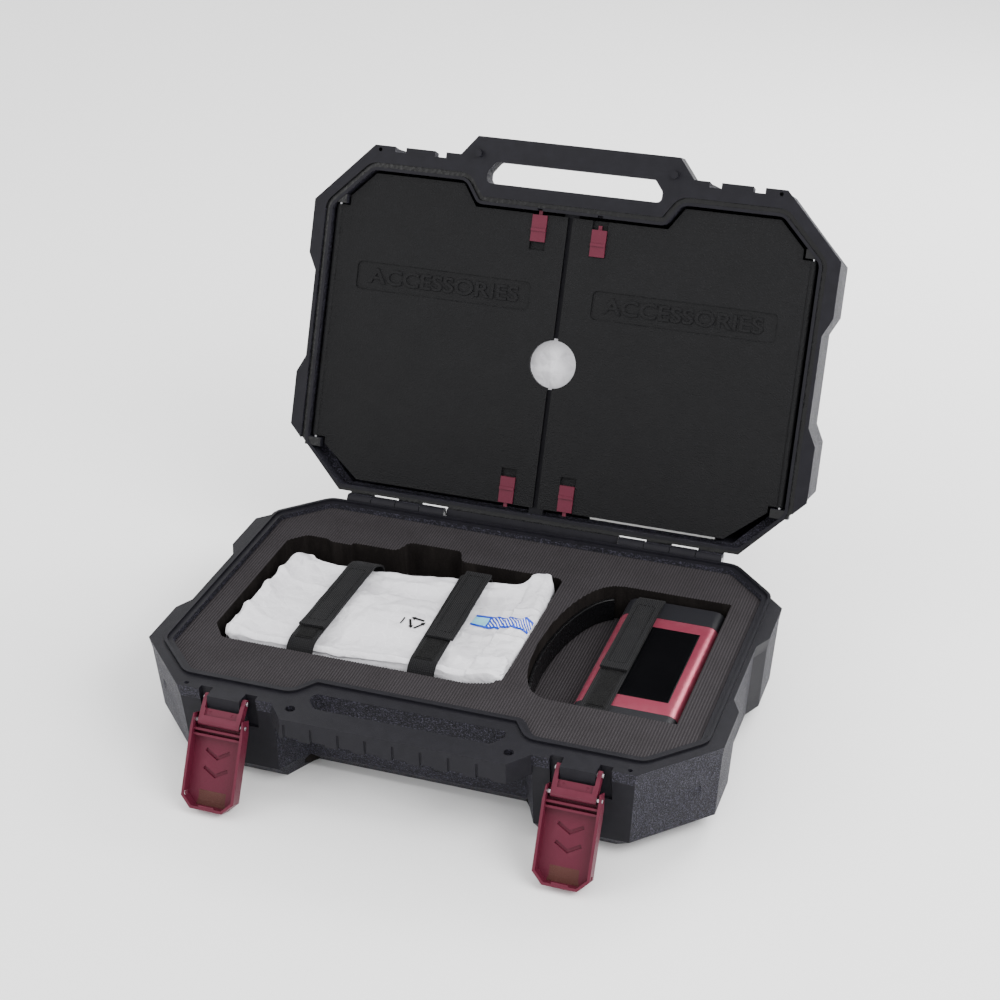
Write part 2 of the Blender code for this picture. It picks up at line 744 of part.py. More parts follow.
def make_analyzer(mats):
    low = FOAM_SPLIT + RUN
    middle = low + VNA_T / 2
    origin = (VNA_X, 0, middle)
    near, far = VNA_Y
    body_y = (near + CAP_NEAR + RUN, far - CAP_FAR - RUN)
    outline = rounded_rect(VNA_W, VNA_T, VNA_ROUND)
    top = VNA_T / 2
    sleeve = place("analyzer_sleeve", prism_y(outline, *body_y), mats["sleeve"], location=origin)
    bay_w = VNA_W - 2 * VNA_SIDE
    bay_h = VNA_T - 2 * VNA_SKIN
    bay = rounded_rect(bay_w, bay_h, VNA_SKIN, 2)
    cut(sleeve, prism_y(bay, body_y[0] - OVERRUN, body_y[1] + OVERRUN))
    glass_x = (-GLASS_W / 2, GLASS_W / 2)
    window = (glass_x[0] - RUN, glass_x[1] + RUN)
    window_y = (GLASS_Y[0] - RUN, GLASS_Y[1] + RUN)
    cut(sleeve, block(window, window_y, (bay_h / 2 - OVERRUN, top + OVERRUN)))
    screw_x = (VNA_W - VNA_SIDE) / 2 - RUN
    screw_far = SCREW_L + CAP_FAR - CAP_NEAR
    bore = SCREW_R + BORE_PLAY
    for side in (-1, 1):
        at = (side * screw_x, 0)
        cut(sleeve, rod_y(at, bore, body_y[0] - OVERRUN, near + SCREW_L + SCREW_ROOM, 12))
        cut(sleeve, rod_y(at, bore, far - screw_far - SCREW_ROOM, body_y[1] + OVERRUN, 12))
    glass_top = top - GLASS_SUNK
    place("display_glass", block(glass_x, GLASS_Y, (glass_top - GLASS_T, glass_top)), mats["glass"],
          location=origin)
    module_top = glass_top - GLASS_T - RUN
    module_y = (GLASS_Y[0] + VNA_SKIN, GLASS_Y[1] - VNA_SKIN)
    place("display_module", block((-MODULE_HALF, MODULE_HALF), module_y,
                                  (module_top - MODULE_T, module_top)), mats["unit"], location=origin)
    board_top = module_top - MODULE_T - RUN
    board_y = (body_y[0] + VNA_SKIN, body_y[1] - VNA_SKIN)
    place("main_board", block((-BOARD_HALF, BOARD_HALF), board_y, (board_top - BOARD_T, board_top)),
          mats["board"], location=origin)
    under = board_top - BOARD_T - RUN
    floor = -bay_h / 2 + RUN
    place("shield_can", block((-CAN_HALF, CAN_HALF), CAN_Y, (under - CAN_H, under)), mats["steel"],
          location=origin)
    place("battery_cell", block((-CELL_HALF, CELL_HALF), CELL_Y, (floor, under - RUN)), mats["cell"],
          location=origin)

    near_cap = place("end_cap_near", prism_y(outline, near, near + CAP_NEAR), mats["cap"], location=origin)
    far_cap = place("end_cap_far", prism_y(outline, far - CAP_FAR, far), mats["cap"], location=origin)
    head = SCREW_HEAD_H
    for side, word in ((-1, "left"), (1, "right")):
        at = (side * screw_x, 0)
        cut(near_cap, rod_y(at, bore, near - OVERRUN, near + CAP_NEAR + OVERRUN, 12))
        cut(near_cap, rod_y(at, SCREW_HEAD_R + RUN, near - OVERRUN, near + head + 2 * RUN, 16))
        cut(far_cap, rod_y(at, bore, far - CAP_FAR - OVERRUN, far + OVERRUN, 12))
        cut(far_cap, rod_y(at, SCREW_HEAD_R + RUN, far - head - 2 * RUN, far + OVERRUN, 16))
        near_screw = place(f"cap_screw_near_{word}", rod_y(at, SCREW_R, near + RUN, near + SCREW_L, 12),
                           mats["steel"], location=origin)
        weld(near_screw, rod_y(at, SCREW_HEAD_R, near + RUN, near + RUN + head, 16))
        far_screw = place(f"cap_screw_far_{word}", rod_y(at, SCREW_R, far - screw_far, far - RUN, 12),
                          mats["steel"], location=origin)
        weld(far_screw, rod_y(at, SCREW_HEAD_R, far - RUN - head, far - RUN, 16))
        port_at = (PORT_X[side > 0], 0)
        cut(far_cap, rod_y(port_at, PORT_FLANGE_R + RUN, far - PORT_SEAT - RUN, far + OVERRUN, 20))
        cut(far_cap, rod_y(port_at, PORT_R + RUN, far - CAP_FAR - OVERRUN, far + OVERRUN, 20))
        port_back = far - CAP_FAR + RUN
        port = place(f"test_port_{word}", rod_y(port_at, PORT_R, port_back, far + PORT_OUT, 20),
                     mats["brass"], location=origin)
        weld(port, rod_y(port_at, PORT_FLANGE_R, far - PORT_SEAT, far + PORT_SEAT, 20))
        mouth_end = far + PORT_OUT
        cut(port, rod_y(port_at, PORT_R - PORT_WALL, mouth_end - PORT_BORE, mouth_end + OVERRUN, 16))
    usb = rounded_rect(*USB_SIZE, USB_SIZE[1] / 2 - RUN / 2, 3)
    cut(near_cap, shifted(prism_y(offset(usb, RUN), near - OVERRUN, near + CAP_NEAR + OVERRUN), dx=USB_X))
    socket = place("usb_socket", shifted(prism_y(usb, near + RUN, near + CAP_NEAR - RUN), dx=USB_X),
                   mats["steel"], location=origin)
    mouth = rounded_rect(*USB_MOUTH, USB_MOUTH[1] / 2 - RUN / 2, 3)
    cut(socket, shifted(prism_y(mouth, near - OVERRUN, near + CAP_NEAR / 2), dx=USB_X))
    cut(near_cap, rod_y((BUTTON_X, 0), BUTTON_R + BORE_PLAY, near - OVERRUN,
                        near + BUTTON_DEPTH + BUTTON_ROOM, 20))
    place("power_button", rod_y((0, 0), BUTTON_R, -BUTTON_PROUD, BUTTON_DEPTH, 20), mats["maroon"],
          location=(VNA_X + BUTTON_X, near, middle))
    return low + VNA_T


# ---- latches --------------------------------------------------------------------------------------
def capsule(start, end, radius, steps=6):
    """An outline with round ends between two points on the second axis, start above end."""
    out = []
    for centre, first in ((end, math.pi), (start, 0.0)):
        for k in range(steps + 1):
            angle = first + math.pi * k / steps
            out.append((radius * math.cos(angle), centre + radius * math.sin(angle)))
    return out


def make_latch(name, x, mats):
    """A draw latch: link arms on a pin in the base, and a cupped lever on a pin in the link."""
    pivot = (x, FRONT_Y - PIVOT_OUT, RIM - PIVOT_DROP)
    arm_out = ARM_IN + ARM_T
    pin = arm_out + PIN_PROUD
    place(f"{name}_base_pin", rod_x((0, 0), LATCH_PIN_R, -pin, pin, 16), mats["steel"], location=pivot)
    link = place(f"{name}_link", prism_x(capsule(0, -LINK_L, ARM_R), -arm_out, arm_out), mats["maroon"],
                 location=pivot, turn_x=-LINK_ANGLE)
    through = ARM_R + OVERRUN
    cut(link, block((-ARM_IN, ARM_IN), (-through, through), (-WEB_START, through)))
    web_x = (-ARM_IN + WEB_RADIUS, ARM_IN - WEB_RADIUS)
    cut(link, block(web_x, (-through, -WEB_T / 2), (-WEB_END, -WEB_START + OVERRUN)))
    cut(link, rod_x((0, 0), LATCH_PIN_R + BORE_PLAY, -arm_out - OVERRUN, arm_out + OVERRUN, 16))
    cut(link, rod_x((0, -LINK_L), LATCH_PIN_R + BORE_PLAY, -arm_out - OVERRUN, arm_out + OVERRUN, 16))

    slope = math.radians(LINK_ANGLE)
    tip = (x, pivot[1] - LINK_L * math.sin(slope), pivot[2] - LINK_L * math.cos(slope))
    half = LEVER_W / 2
    place(f"{name}_link_pin", rod_x((0, 0), LATCH_PIN_R, -half + RUN, half - RUN, 16), mats["steel"],
          location=tip)
    neck = half - LEVER_NECK
    outline = [(neck, LEVER_TOP), (-neck, LEVER_TOP), (-half, -LEVER_TOP),
               (-half, -LEVER_TIP + LEVER_CHAMFER), (-half + LEVER_CHAMFER, -LEVER_TIP),
               (half - LEVER_CHAMFER, -LEVER_TIP), (half, -LEVER_TIP + LEVER_CHAMFER), (half, -LEVER_TOP)]
    lever = place(f"{name}_lever", prism_y(outline, -LEVER_FRONT, LEVER_BACK), mats["maroon"],
                  location=tip, turn_x=-LEVER_ANGLE)
    floor = LEVER_BACK - LEVER_WALL
    cup = offset(outline, -LEVER_WALL)
    cut(lever, prism_y(cup, -LEVER_FRONT - OVERRUN, floor))
    cut(lever, block((-half + LEVER_WALL, half - LEVER_WALL),
                     (-LEVER_FRONT - OVERRUN, LEVER_BACK + OVERRUN),
                     (-LEVER_FLOOR_START, LEVER_TOP + OVERRUN)))
    cut(lever, rod_x((0, 0), LATCH_PIN_R + BORE_PLAY, -half - OVERRUN, half + OVERRUN, 16))


# ---- lid ------------------------------------------------------------------------------------------
def lid_v(v):
    """The lid-frame Y of a point at distance v from the hinge axis."""
    return -v


def make_lid_shell(lid, mats):
    shift = {"dy": -HINGE_Y}
    setback = HALF_D - GRIP_SETBACK
    shell = place("lid_shell", shifted(case_loft([
        (RIM_GAP, 0.0, setback),
        (FLANGE_T, FLANGE_DRAFT, setback - FLANGE_DRAFT),
        (LID_H - LID_EDGE, LID_DRAFT, setback - LID_DRAFT),
        (LID_H, LID_CROWN, setback - LID_CROWN),
    ]), **shift), mats["shell"], parent=lid)
    weld(shell, shifted(prism(handle_outline(), RIM_GAP, HANDLE_T), **shift))
    for side in (-1, 1):
        weld(shell, shifted(rod_z((side * PEG_X, FRONT_Y - PEG_Y), PEG_R, RIM_GAP - PEG_H, PEG_H),
                            **shift))
        for span in knuckle_spans(0, side):
            cut(shell, rod_x((0, 0), KNUCKLE_R + KNUCKLE_PLAY, span[0] - KNUCKLE_GAP / 2,
                             span[1] + KNUCKLE_GAP / 2))
        for span in knuckle_spans(1, side):
            weld(shell, knuckle(span, 1))
    weld(shell, block((-SILL_X, SILL_X), (-HINGE_OFFSET - KNUCKLE_ROOT, SILL_PAST), (RIM_GAP, SILL_T)))
    cut(shell, shifted(case_loft([
        (FLANGE_T + HOLLOW_DROP, WALL, setback - WALL),
        (LID_H - LID_CROWN, WALL + HOLLOW_DROP, setback - WALL - LID_DRAFT),
        (LID_H - SKIN, WALL + LID_CROWN - HOLLOW_DROP, setback - WALL - LID_CROWN),
    ]), **shift))
    cut(shell, shifted(prism(inner_outline(LIP), RIM_GAP - OVERRUN, FLANGE_T + OVERRUN), **shift))
    for side in (-1, 1):
        for y, grow in ((BOSS_TOP_Y, -1), (BOSS_LOW_Y, 1)):
            ends = sorted((side * (DOOR_NOTCH_X + BOSS_PLAY), side * (HALF_W - MARGIN_X + OVERRUN)))
            reach = sorted((y, y + grow * BOSS_L))
            weld(shell, shifted(block(ends, reach, (2 * RIM_GAP, FLANGE_T + LIP)), **shift))
            bore = sorted((y - grow * OVERRUN, y + grow * (BOSS_L - LIP)))
            cut(shell, shifted(rod_y((side * DOOR_AXIS_X, DOOR_AXIS_N), DOOR_PIN_R + BORE_PLAY, *bore, 12),
                               **shift))
    cut(shell, shifted(ring_prism(inner_outline(SEAL_OFFSET + SEAL_W + SEAL_PLAY),
                                  inner_outline(SEAL_OFFSET - SEAL_PLAY),
                                  RIM_GAP - OVERRUN, RIM_GAP + SEAL_H + SEAL_PLAY), **shift))
    rail = (DOOR_AXIS_N + DOOR_T / 2 + DOOR_REST, DOOR_AXIS_N + DOOR_T / 2 + DOOR_REST + RAIL_T)
    hole_near = HINGE_Y - FINGER_HOLE_V - FINGER_HOLE_R
    hole_far = HINGE_Y - FINGER_HOLE_V + FINGER_HOLE_R
    inner_front = FRONT_Y + MARGIN_FRONT + STEP_DEPTH
    for reach in ((inner_front - OVERRUN, hole_near - DOOR_PLAY),
                  (hole_far + DOOR_PLAY, HALF_D - MARGIN_BACK + OVERRUN)):
        weld(shell, shifted(block((-RAIL_HALF, RAIL_HALF), reach, rail), **shift))
    cut(shell, shifted(prism(grip_outline(), RIM_GAP - OVERRUN, HANDLE_T + OVERRUN), **shift))
    for side in (-1, 1):
        x = side * LATCH_X
        spans = knuckle_spans(1, side)
        reach = [min(s[0] for s in spans) - OVERRUN, max(s[1] for s in spans) + OVERRUN]
        cut(shell, rod_x((0, 0), HINGE_PIN_R + BORE_PLAY, *reach, sides=16))
        cut(shell, shifted(block((x - SLOT_HALF, x + SLOT_HALF), (FRONT_Y - OVERRUN, FRONT_Y + SLOT_DEPTH),
                                 (FLANGE_T, LID_H + OVERRUN)), **shift))
        for arm in (-1, 1):
            ends = sorted((x + arm * BLOCK_HALF, x + arm * SLOT_HALF))
            cut(shell, shifted(block(ends, (FRONT_Y - OVERRUN, FRONT_Y + SLOT_DEPTH),
                                     (RIM_GAP - OVERRUN, FLANGE_T + OVERRUN)), **shift))
        for edge, way in ((DOOR_TOP_Y, -1), (DOOR_BACK_Y, 1)):
            half = BOLT_W / 2 + BOLT_PLAY
            reach = sorted((edge, edge + way * (BOLT_OUT + BOLT_PLAY)))
            cut(shell, shifted(block((side * SLIDER_X - half, side * SLIDER_X + half), reach,
                                     (RIM_GAP - OVERRUN, DOOR_AXIS_N + BOLT_W / 2)), **shift))


def door_outline(side):
    """One door in the case frame, from the middle out; side is -1 or 1."""
    top_y = BOSS_TOP_Y + DOOR_PLAY
    low_y = BOSS_LOW_Y - DOOR_PLAY
    corner_x = HALF_W - MARGIN_X - INNER_CHAMFER - DOOR_PLAY
    points = [
        (DOOR_GAP, DOOR_TOP_Y),
        (STEP_X + DOOR_PLAY, DOOR_TOP_Y),
        (STEP_X + STEP_SLANT + DOOR_PLAY, DOOR_FRONT_Y),
        (corner_x, DOOR_FRONT_Y),
        (DOOR_NOTCH_X, DOOR_FRONT_Y + DOOR_NOTCH_X - corner_x),
        (DOOR_NOTCH_X, top_y),
        (DOOR_AXIS_X, top_y),
        (DOOR_AXIS_X, low_y),
        (DOOR_NOTCH_X, low_y),
        (DOOR_NOTCH_X, DOOR_BACK_Y - INNER_CHAMFER + 4 * DOOR_PLAY),
        (DOOR_NOTCH_X - INNER_CHAMFER, DOOR_BACK_Y),
        (DOOR_GAP, DOOR_BACK_Y),
    ]
    if side < 0:
        points = [(-x, y) for x, y in reversed(points)]
    return points, top_y, low_y


def make_door(name, side, lid, mats):
    """A door that turns on two pins in the lid's corner bosses; its origin is on that axis."""
    points, top_y, low_y = door_outline(side)
    front_n = -DOOR_T / 2
    back_n = DOOR_T / 2
    from_axis = -side * DOOR_AXIS_X
    shift = {"dx": from_axis, "dy": -HINGE_Y}
    hub = empty(f"{name}_axis", (side * DOOR_AXIS_X, 0, DOOR_AXIS_N), lid)
    door = place(name, shifted(prism(points, front_n, back_n), **shift), mats["door"], parent=hub)
    weld(door, rod_y((0, 0), DOOR_BARREL_R, top_y - HINGE_Y, low_y - HINGE_Y, 20))
    for y, way in ((top_y, 1), (low_y, -1)):
        ends = sorted((y - HINGE_Y - way * OVERRUN, y - HINGE_Y + way * (DOOR_PIN_L / 2 + OVERRUN)))
        cut(door, rod_y((0, 0), DOOR_PIN_R + BORE_PLAY, *ends, 12))
    hole_y = lid_v(FINGER_HOLE_V)
    cut(door, rod_z((from_axis, hole_y), FINGER_HOLE_R, front_n - OVERRUN, back_n + OVERRUN, 48))
    ends = sorted((side * LABEL_X, side * (LABEL_X + LABEL_W)))
    plate = fillet([(ends[0], lid_v(LABEL_V)), (ends[0], lid_v(LABEL_V + LABEL_H)),
                    (ends[1], lid_v(LABEL_V + LABEL_H)), (ends[1], lid_v(LABEL_V))], LABEL_ROUND)
    cut(door, shifted(prism(plate, front_n - OVERRUN, front_n + LABEL_DEPTH), dx=from_axis))
    return door, hub


def make_door_pins(side, word, lid, mats):
    for y, way, end in ((BOSS_TOP_Y, 1, "top"), (BOSS_LOW_Y, -1, "low")):
        ends = sorted((y - HINGE_Y - way * (BOSS_L - DOOR_PLAY), y - HINGE_Y + way * DOOR_PIN_L / 2))
        place(f"door_pin_{word}_{end}", rod_y((0, 0), DOOR_PIN_R, *ends, 12), mats["steel"], parent=lid,
              location=(side * DOOR_AXIS_X, 0, DOOR_AXIS_N))


def make_slider(name, side, door, hub, edge_y, way, drawn, mats):
    """A door bolt: edge_y is the door edge that it shoots past, way the Y direction it shoots in."""
    front_n = -DOOR_T / 2
    back_n = DOOR_T / 2
    x = side * (SLIDER_X - DOOR_AXIS_X)
    edge = edge_y - HINGE_Y
    pocket = sorted((edge + way * OVERRUN, edge - way * (SLIDER_L + SLIDER_TRAVEL + LIP)))
    half = SLIDER_W / 2 + RUN
    cut(door, block((x - half, x + half), pocket, (front_n - OVERRUN, front_n + SLOT_POCKET)))
    shut = edge - way * 2 * RUN
    stem_at = shut - way * SLIDER_L / 2
    reach = sorted((stem_at + way * (STEM_L / 2 + RUN),
                    stem_at - way * (STEM_L / 2 + SLIDER_TRAVEL + RUN)))
    stem_x = (x - STEM_W / 2 - RUN, x + STEM_W / 2 + RUN)
    cut(door, block(stem_x, reach, (front_n - OVERRUN, back_n + OVERRUN)))
    lag = SLIDER_TRAVEL if drawn else 0.0
    centre = stem_at - way * lag
    body_low = front_n + SLOT_POCKET - RUN
    hl = SLIDER_L / 2
    slider = place(name, block((-SLIDER_W / 2, SLIDER_W / 2), (-hl, hl),
                               (front_n - SLIDER_PROUD, body_low)), mats["maroon"], parent=hub,
                   location=(x, centre, 0))
    rib_y = -way * SLIDER_PROUD
    weld(slider, block((-SLIDER_W / 2, SLIDER_W / 2), (rib_y - SLIDER_RIB, rib_y + SLIDER_RIB),
                       (front_n - SLIDER_PROUD - SLIDER_RIB, front_n)))
    clip = back_n + RUN
    weld(slider, block((-STEM_W / 2, STEM_W / 2), (-STEM_L / 2, STEM_L / 2),
                       (body_low - RUN, clip + CLIP_T / 2)))
    weld(slider, block((-STEM_W, STEM_W), (-STEM_L / 2, STEM_L / 2), (clip, clip + CLIP_T)))
    tip = sorted((way * (hl - LIP), way * (hl + BOLT_OUT)))
    weld(slider, block((-BOLT_W / 2, BOLT_W / 2), tip, (front_n + RUN / 2, body_low - RUN / 2)))


def make_lid_contents(lid, mats):
    """A soft pouch and a folded guide in the compartment behind the doors."""
    corners = [(-POUCH_HALF, lid_v(POUCH_V[1])), (POUCH_HALF, lid_v(POUCH_V[1])),
               (POUCH_HALF, lid_v(POUCH_V[0])), (-POUCH_HALF, lid_v(POUCH_V[0]))]
    outline = fillet(corners, POUCH_ROUND)
    low, high = POUCH_N
    place("accessory_pouch", loft([
        [(x, y, low) for x, y in offset(outline, -POUCH_DRAW)],
        [(x, y, low + POUCH_EDGE) for x, y in outline],
        [(x, y, high - POUCH_EDGE) for x, y in outline],
        [(x, y, high) for x, y in offset(outline, -POUCH_DRAW)],
    ]), mats["film"], parent=lid)
    guide = block(GUIDE_X, (lid_v(GUIDE_V[1]), lid_v(GUIDE_V[0])), (GUIDE_N, GUIDE_N + GUIDE_T))
    place("quick_guide", guide, mats["paper"], parent=lid)


def make_lid(mats):
    lid = empty("lid_axis", (0, HINGE_Y, RIM), turn_x=-LID_ANGLE)
    make_lid_shell(lid, mats)
    for word, side in (("left", -1), ("right", 1)):
        door, hub = make_door(f"accessory_door_{word}", side, lid, mats)
        make_door_pins(side, word, lid, mats)
        make_slider(f"door_slider_{word}_top", side, door, hub, DOOR_TOP_Y, -1, side > 0, mats)
        make_slider(f"door_slider_{word}_low", side, door, hub, DOOR_BACK_Y, 1, False, mats)
    make_lid_contents(lid, mats)


def main():
    clear_scene()
    mats = make_materials()
    make_base_shell(mats)
    make_hinge_pins(mats)
    make_foam(mats)
    make_pocket_liner(mats)
    bag_top = make_wrapped_unit(mats)
    vna_top = make_analyzer(mats)
    for name, x, flap_y, patch in (("strap_outer", OUTER_X, OUTER_FLAP, OUTER_PATCH),
                                   ("strap_inner", INNER_X, INNER_FLAP, INNER_PATCH)):
        span = (BAG_Y[0], bag_back(x + STRAP_W / 2))
        make_strap(name, x, span, bag_top, flap_y, patch, mats)
    make_strap("strap_analyzer", VNA_STRAP_X, VNA_Y, vna_top, VNA_FLAP, VNA_PATCH, mats)
    for word, side in (("left", -1), ("right", 1)):
        make_latch(f"latch_{word}", side * LATCH_X, mats)
    make_lid(mats)


main()
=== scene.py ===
"""Looks of the handheld vector network analyzer kit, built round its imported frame. Metres, +Z up."""
import json
import math
import bpy
from mathutils import Matrix, Vector, noise


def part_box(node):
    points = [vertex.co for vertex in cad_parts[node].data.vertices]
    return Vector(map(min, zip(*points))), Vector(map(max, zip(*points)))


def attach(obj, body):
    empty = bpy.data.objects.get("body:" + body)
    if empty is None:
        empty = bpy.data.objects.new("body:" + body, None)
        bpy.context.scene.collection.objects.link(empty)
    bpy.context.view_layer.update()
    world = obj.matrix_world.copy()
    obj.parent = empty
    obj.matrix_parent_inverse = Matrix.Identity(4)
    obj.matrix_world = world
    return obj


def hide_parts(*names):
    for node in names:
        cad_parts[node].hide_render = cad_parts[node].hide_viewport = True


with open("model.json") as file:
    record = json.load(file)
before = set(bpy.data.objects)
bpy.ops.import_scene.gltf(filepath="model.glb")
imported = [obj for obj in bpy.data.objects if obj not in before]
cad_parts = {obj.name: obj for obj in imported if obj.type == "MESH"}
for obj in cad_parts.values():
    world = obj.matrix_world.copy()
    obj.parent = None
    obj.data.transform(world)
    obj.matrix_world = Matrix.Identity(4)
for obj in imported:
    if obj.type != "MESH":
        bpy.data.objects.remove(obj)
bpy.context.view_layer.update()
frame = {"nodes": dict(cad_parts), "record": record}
NODES = frame["nodes"]
BODY_OF = {node: body for body, names in frame["record"]["behaviour"]["bodies"].items() for node in names}

RIM = 0.076
FRONT = -0.144
HINGE = Vector((0, 0.1495, RIM))
LID_OPEN = math.radians(-112.8)
LID_FRAME = Matrix.Translation(HINGE) @ Matrix.Rotation(LID_OPEN, 4, "X")
LATCH_X = 0.132
LINK_PIVOT = (FRONT - 0.0015, RIM - 0.0045)
LINK_HANGS = math.radians(-45.0)
LEVER_PIVOT = (-0.15752, 0.05948)
LEVER_HANGS = math.radians(-27.0)
LEVER_INSIDE = 0.0185
SLIDER_X = 0.0253
CORNER = (0.0483, 0.0496)  # how far each cut-off corner runs along X and along Y
RIB_PITCH = 0.0022
WEB_PITCH = 0.0015
BAND_WIDTH, FLAP_WIDTH, HOOK_WIDTH = 0.0212, 0.0210, 0.0150
FOAM_TOP, FLOOR_TOP = RIM - 0.004, 0.042
CLOTH_FRAMES = 14


# ---- hand tools ----------------------------------------------------------------------------------
def only(*pieces):
    """Leaves just these pieces selected, the first of them active."""
    if bpy.context.object and bpy.context.object.mode != "OBJECT":
        bpy.ops.object.mode_set(mode="OBJECT")
    bpy.ops.object.select_all(action="DESELECT")
    for piece in pieces:
        piece.select_set(True)
    bpy.context.view_layer.objects.active = pieces[0]


def settle(piece, space=None):
    """Puts a piece's place into its mesh, first moved from its own space if one is given."""
    bpy.context.view_layer.update()
    if space is not None:
        piece.matrix_world = space @ piece.matrix_world
        bpy.context.view_layer.update()
    only(piece)
    bpy.ops.object.transform_apply(location=True, rotation=True, scale=True)
    return piece


def remove(piece):
    bpy.data.objects.remove(piece, do_unlink=True)


def box(x, y, z, space=None):
    """A block between the given limits."""
    centre = [(a + b) / 2 for a, b in (x, y, z)]
    bpy.ops.mesh.primitive_cube_add(size=1, location=centre)
    piece = bpy.context.object
    piece.scale = [abs(b - a) for a, b in (x, y, z)]
    return settle(piece, space)


def rod(centre, axis, radius, length, sides=24, space=None):
    """A cylinder along an axis."""
    turn = Vector((0, 0, 1)).rotation_difference(Vector(axis)).to_euler()
    bpy.ops.mesh.primitive_cylinder_add(vertices=sides, radius=radius, depth=length, location=centre,
                                        rotation=turn)
    return settle(bpy.context.object, space)


def set_all(thing, **settings):
    for name, value in settings.items():
        setattr(thing, name, value)


def changed(piece, kind, **settings):
    """A piece after one modifier with these settings, applied at once."""
    only(piece)
    change = piece.modifiers.new(kind.lower(), kind)
    set_all(change, **settings)
    bpy.ops.object.modifier_apply(modifier=change.name)
    return piece


def sheet(size, cuts, place, turn=0.0):
    """A flat grid of the given width and length, turned about Z."""
    bpy.ops.mesh.primitive_grid_add(x_subdivisions=cuts[0], y_subdivisions=cuts[1], size=1, location=place,
                                    rotation=(0, 0, turn))
    piece = bpy.context.object
    piece.scale = (*size, 1)
    return settle(piece)


def repeated(piece, step, count):
    """Copies in a row."""
    return changed(piece, "ARRAY", use_relative_offset=False, use_constant_offset=True,
                   constant_offset_displace=step, count=count)


def joined(*pieces):
    only(*pieces)
    bpy.ops.object.join()
    return bpy.context.object


def carve(piece, cutter, operation="DIFFERENCE"):
    changed(piece, "BOOLEAN", operation=operation, solver="EXACT", object=cutter)
    remove(cutter)
    return piece


def edit_all(piece, step, **settings):
    """One edit-mode step on the whole of a mesh."""
    only(piece)
    bpy.ops.object.mode_set(mode="EDIT")
    bpy.ops.mesh.select_all(action="SELECT")
    step(**settings)
    bpy.ops.object.mode_set(mode="OBJECT")
    return piece


def copy_of(node):
    """A working copy of a frame part, its doubles merged and its flat faces whole again."""
    piece = NODES[node].copy()
    piece.data = NODES[node].data.copy()
    bpy.context.scene.collection.objects.link(piece)
    piece.parent = None
    edit_all(piece, bpy.ops.mesh.remove_doubles, threshold=0.000002)
    return edit_all(piece, bpy.ops.mesh.dissolve_limited, angle_limit=math.radians(0.4))


def soften(piece, width, segments=2, angle=32):
    """Small round edges, and smooth shading across shallow angles only."""
    changed(piece, "BEVEL", width=width, segments=segments, limit_method="ANGLE",
            angle_limit=math.radians(angle), use_clamp_overlap=True)
    bpy.ops.object.shade_smooth_by_angle(angle=math.radians(angle + 6))
    return changed(piece, "WEIGHTED_NORMAL", keep_sharp=True, weight=100)


def round_edges(piece, width, test, segments=3):
    """Wider rounding on the sharp edges whose middles pass the test."""
    only(piece)
    bpy.ops.object.mode_set(mode="EDIT")
    bpy.ops.mesh.select_mode(type="EDGE")
    bpy.ops.mesh.select_all(action="DESELECT")
    bpy.ops.mesh.edges_select_sharp(sharpness=math.radians(9))
    bpy.ops.object.mode_set(mode="OBJECT")
    mesh = piece.data
    for edge in mesh.edges:
        if edge.select:
            a, b = (mesh.vertices[i].co for i in edge.vertices)
            edge.select = test((a + b) / 2)
    bpy.ops.object.mode_set(mode="EDIT")
    bpy.ops.mesh.bevel(offset=width, segments=segments, clamp_overlap=True)
    bpy.ops.mesh.select_mode(type="VERT")
    bpy.ops.object.mode_set(mode="OBJECT")
    return piece


def smooth(piece, angle=40):
    only(piece)
    bpy.ops.object.shade_smooth_by_angle(angle=math.radians(angle))
    return piece


def dress(piece, *finishes):
    piece.data.materials.clear()
    for finish in finishes:
        piece.data.materials.append(finish)
    return piece


def paint_where(piece, slot, test):
    """Gives the faces that pass the test another of the piece's finishes."""
    for face in piece.data.polygons:
        if test(face.center, face.normal):
            face.material_index = slot


def fit(piece, name, node, stands_for=True):
    """Names a finished piece and lets it ride where its frame part rides."""
    piece.name = name
    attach(piece, BODY_OF[node])
    if stands_for:
        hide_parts(node)
    return piece


def plain_part(node, name, finish, width, segments=2, angle=32):
    """A frame part with softened edges and one finish."""
    return fit(dress(soften(copy_of(node), width, segments, angle), FINISH[finish]), name, node)


# ---- shared surface effects ------------------------------------------------------------------------
def new_group(name, inputs, outputs):
    tree = bpy.data.node_groups.new(name, "ShaderNodeTree")
    for label, value in inputs.items():
        socket = tree.interface.new_socket(name=label, in_out="INPUT", socket_type="NodeSocketFloat")
        socket.default_value = value
    for label in outputs:
        tree.interface.new_socket(name=label, in_out="OUTPUT", socket_type="NodeSocketFloat")
    return tree, tree.nodes.new("NodeGroupInput"), tree.nodes.new("NodeGroupOutput")


def feed(tree, socket, value):
    """Sets a node's input to a number, or links it to another node's output."""
    if isinstance(value, (int, float)):
        socket.default_value = value
    elif value is not None:
        tree.links.new(value, socket)


def math_node(tree, operation, first, second=None, clamp=False):
    node = tree.nodes.new("ShaderNodeMath")
    node.operation = operation
    node.use_clamp = clamp
    for socket, value in zip(node.inputs, (first, second)):
        feed(tree, socket, value)
    return node.outputs[0]


def ramp_value(tree, value, low, high, to_low=0.0, to_high=1.0):
    node = tree.nodes.new("ShaderNodeMapRange")
    tree.links.new(value, node.inputs["Value"])
    for label, limit in zip(("From Min", "From Max", "To Min", "To Max"), (low, high, to_low, to_high)):
        node.inputs[label].default_value = limit
    return node.outputs["Result"]


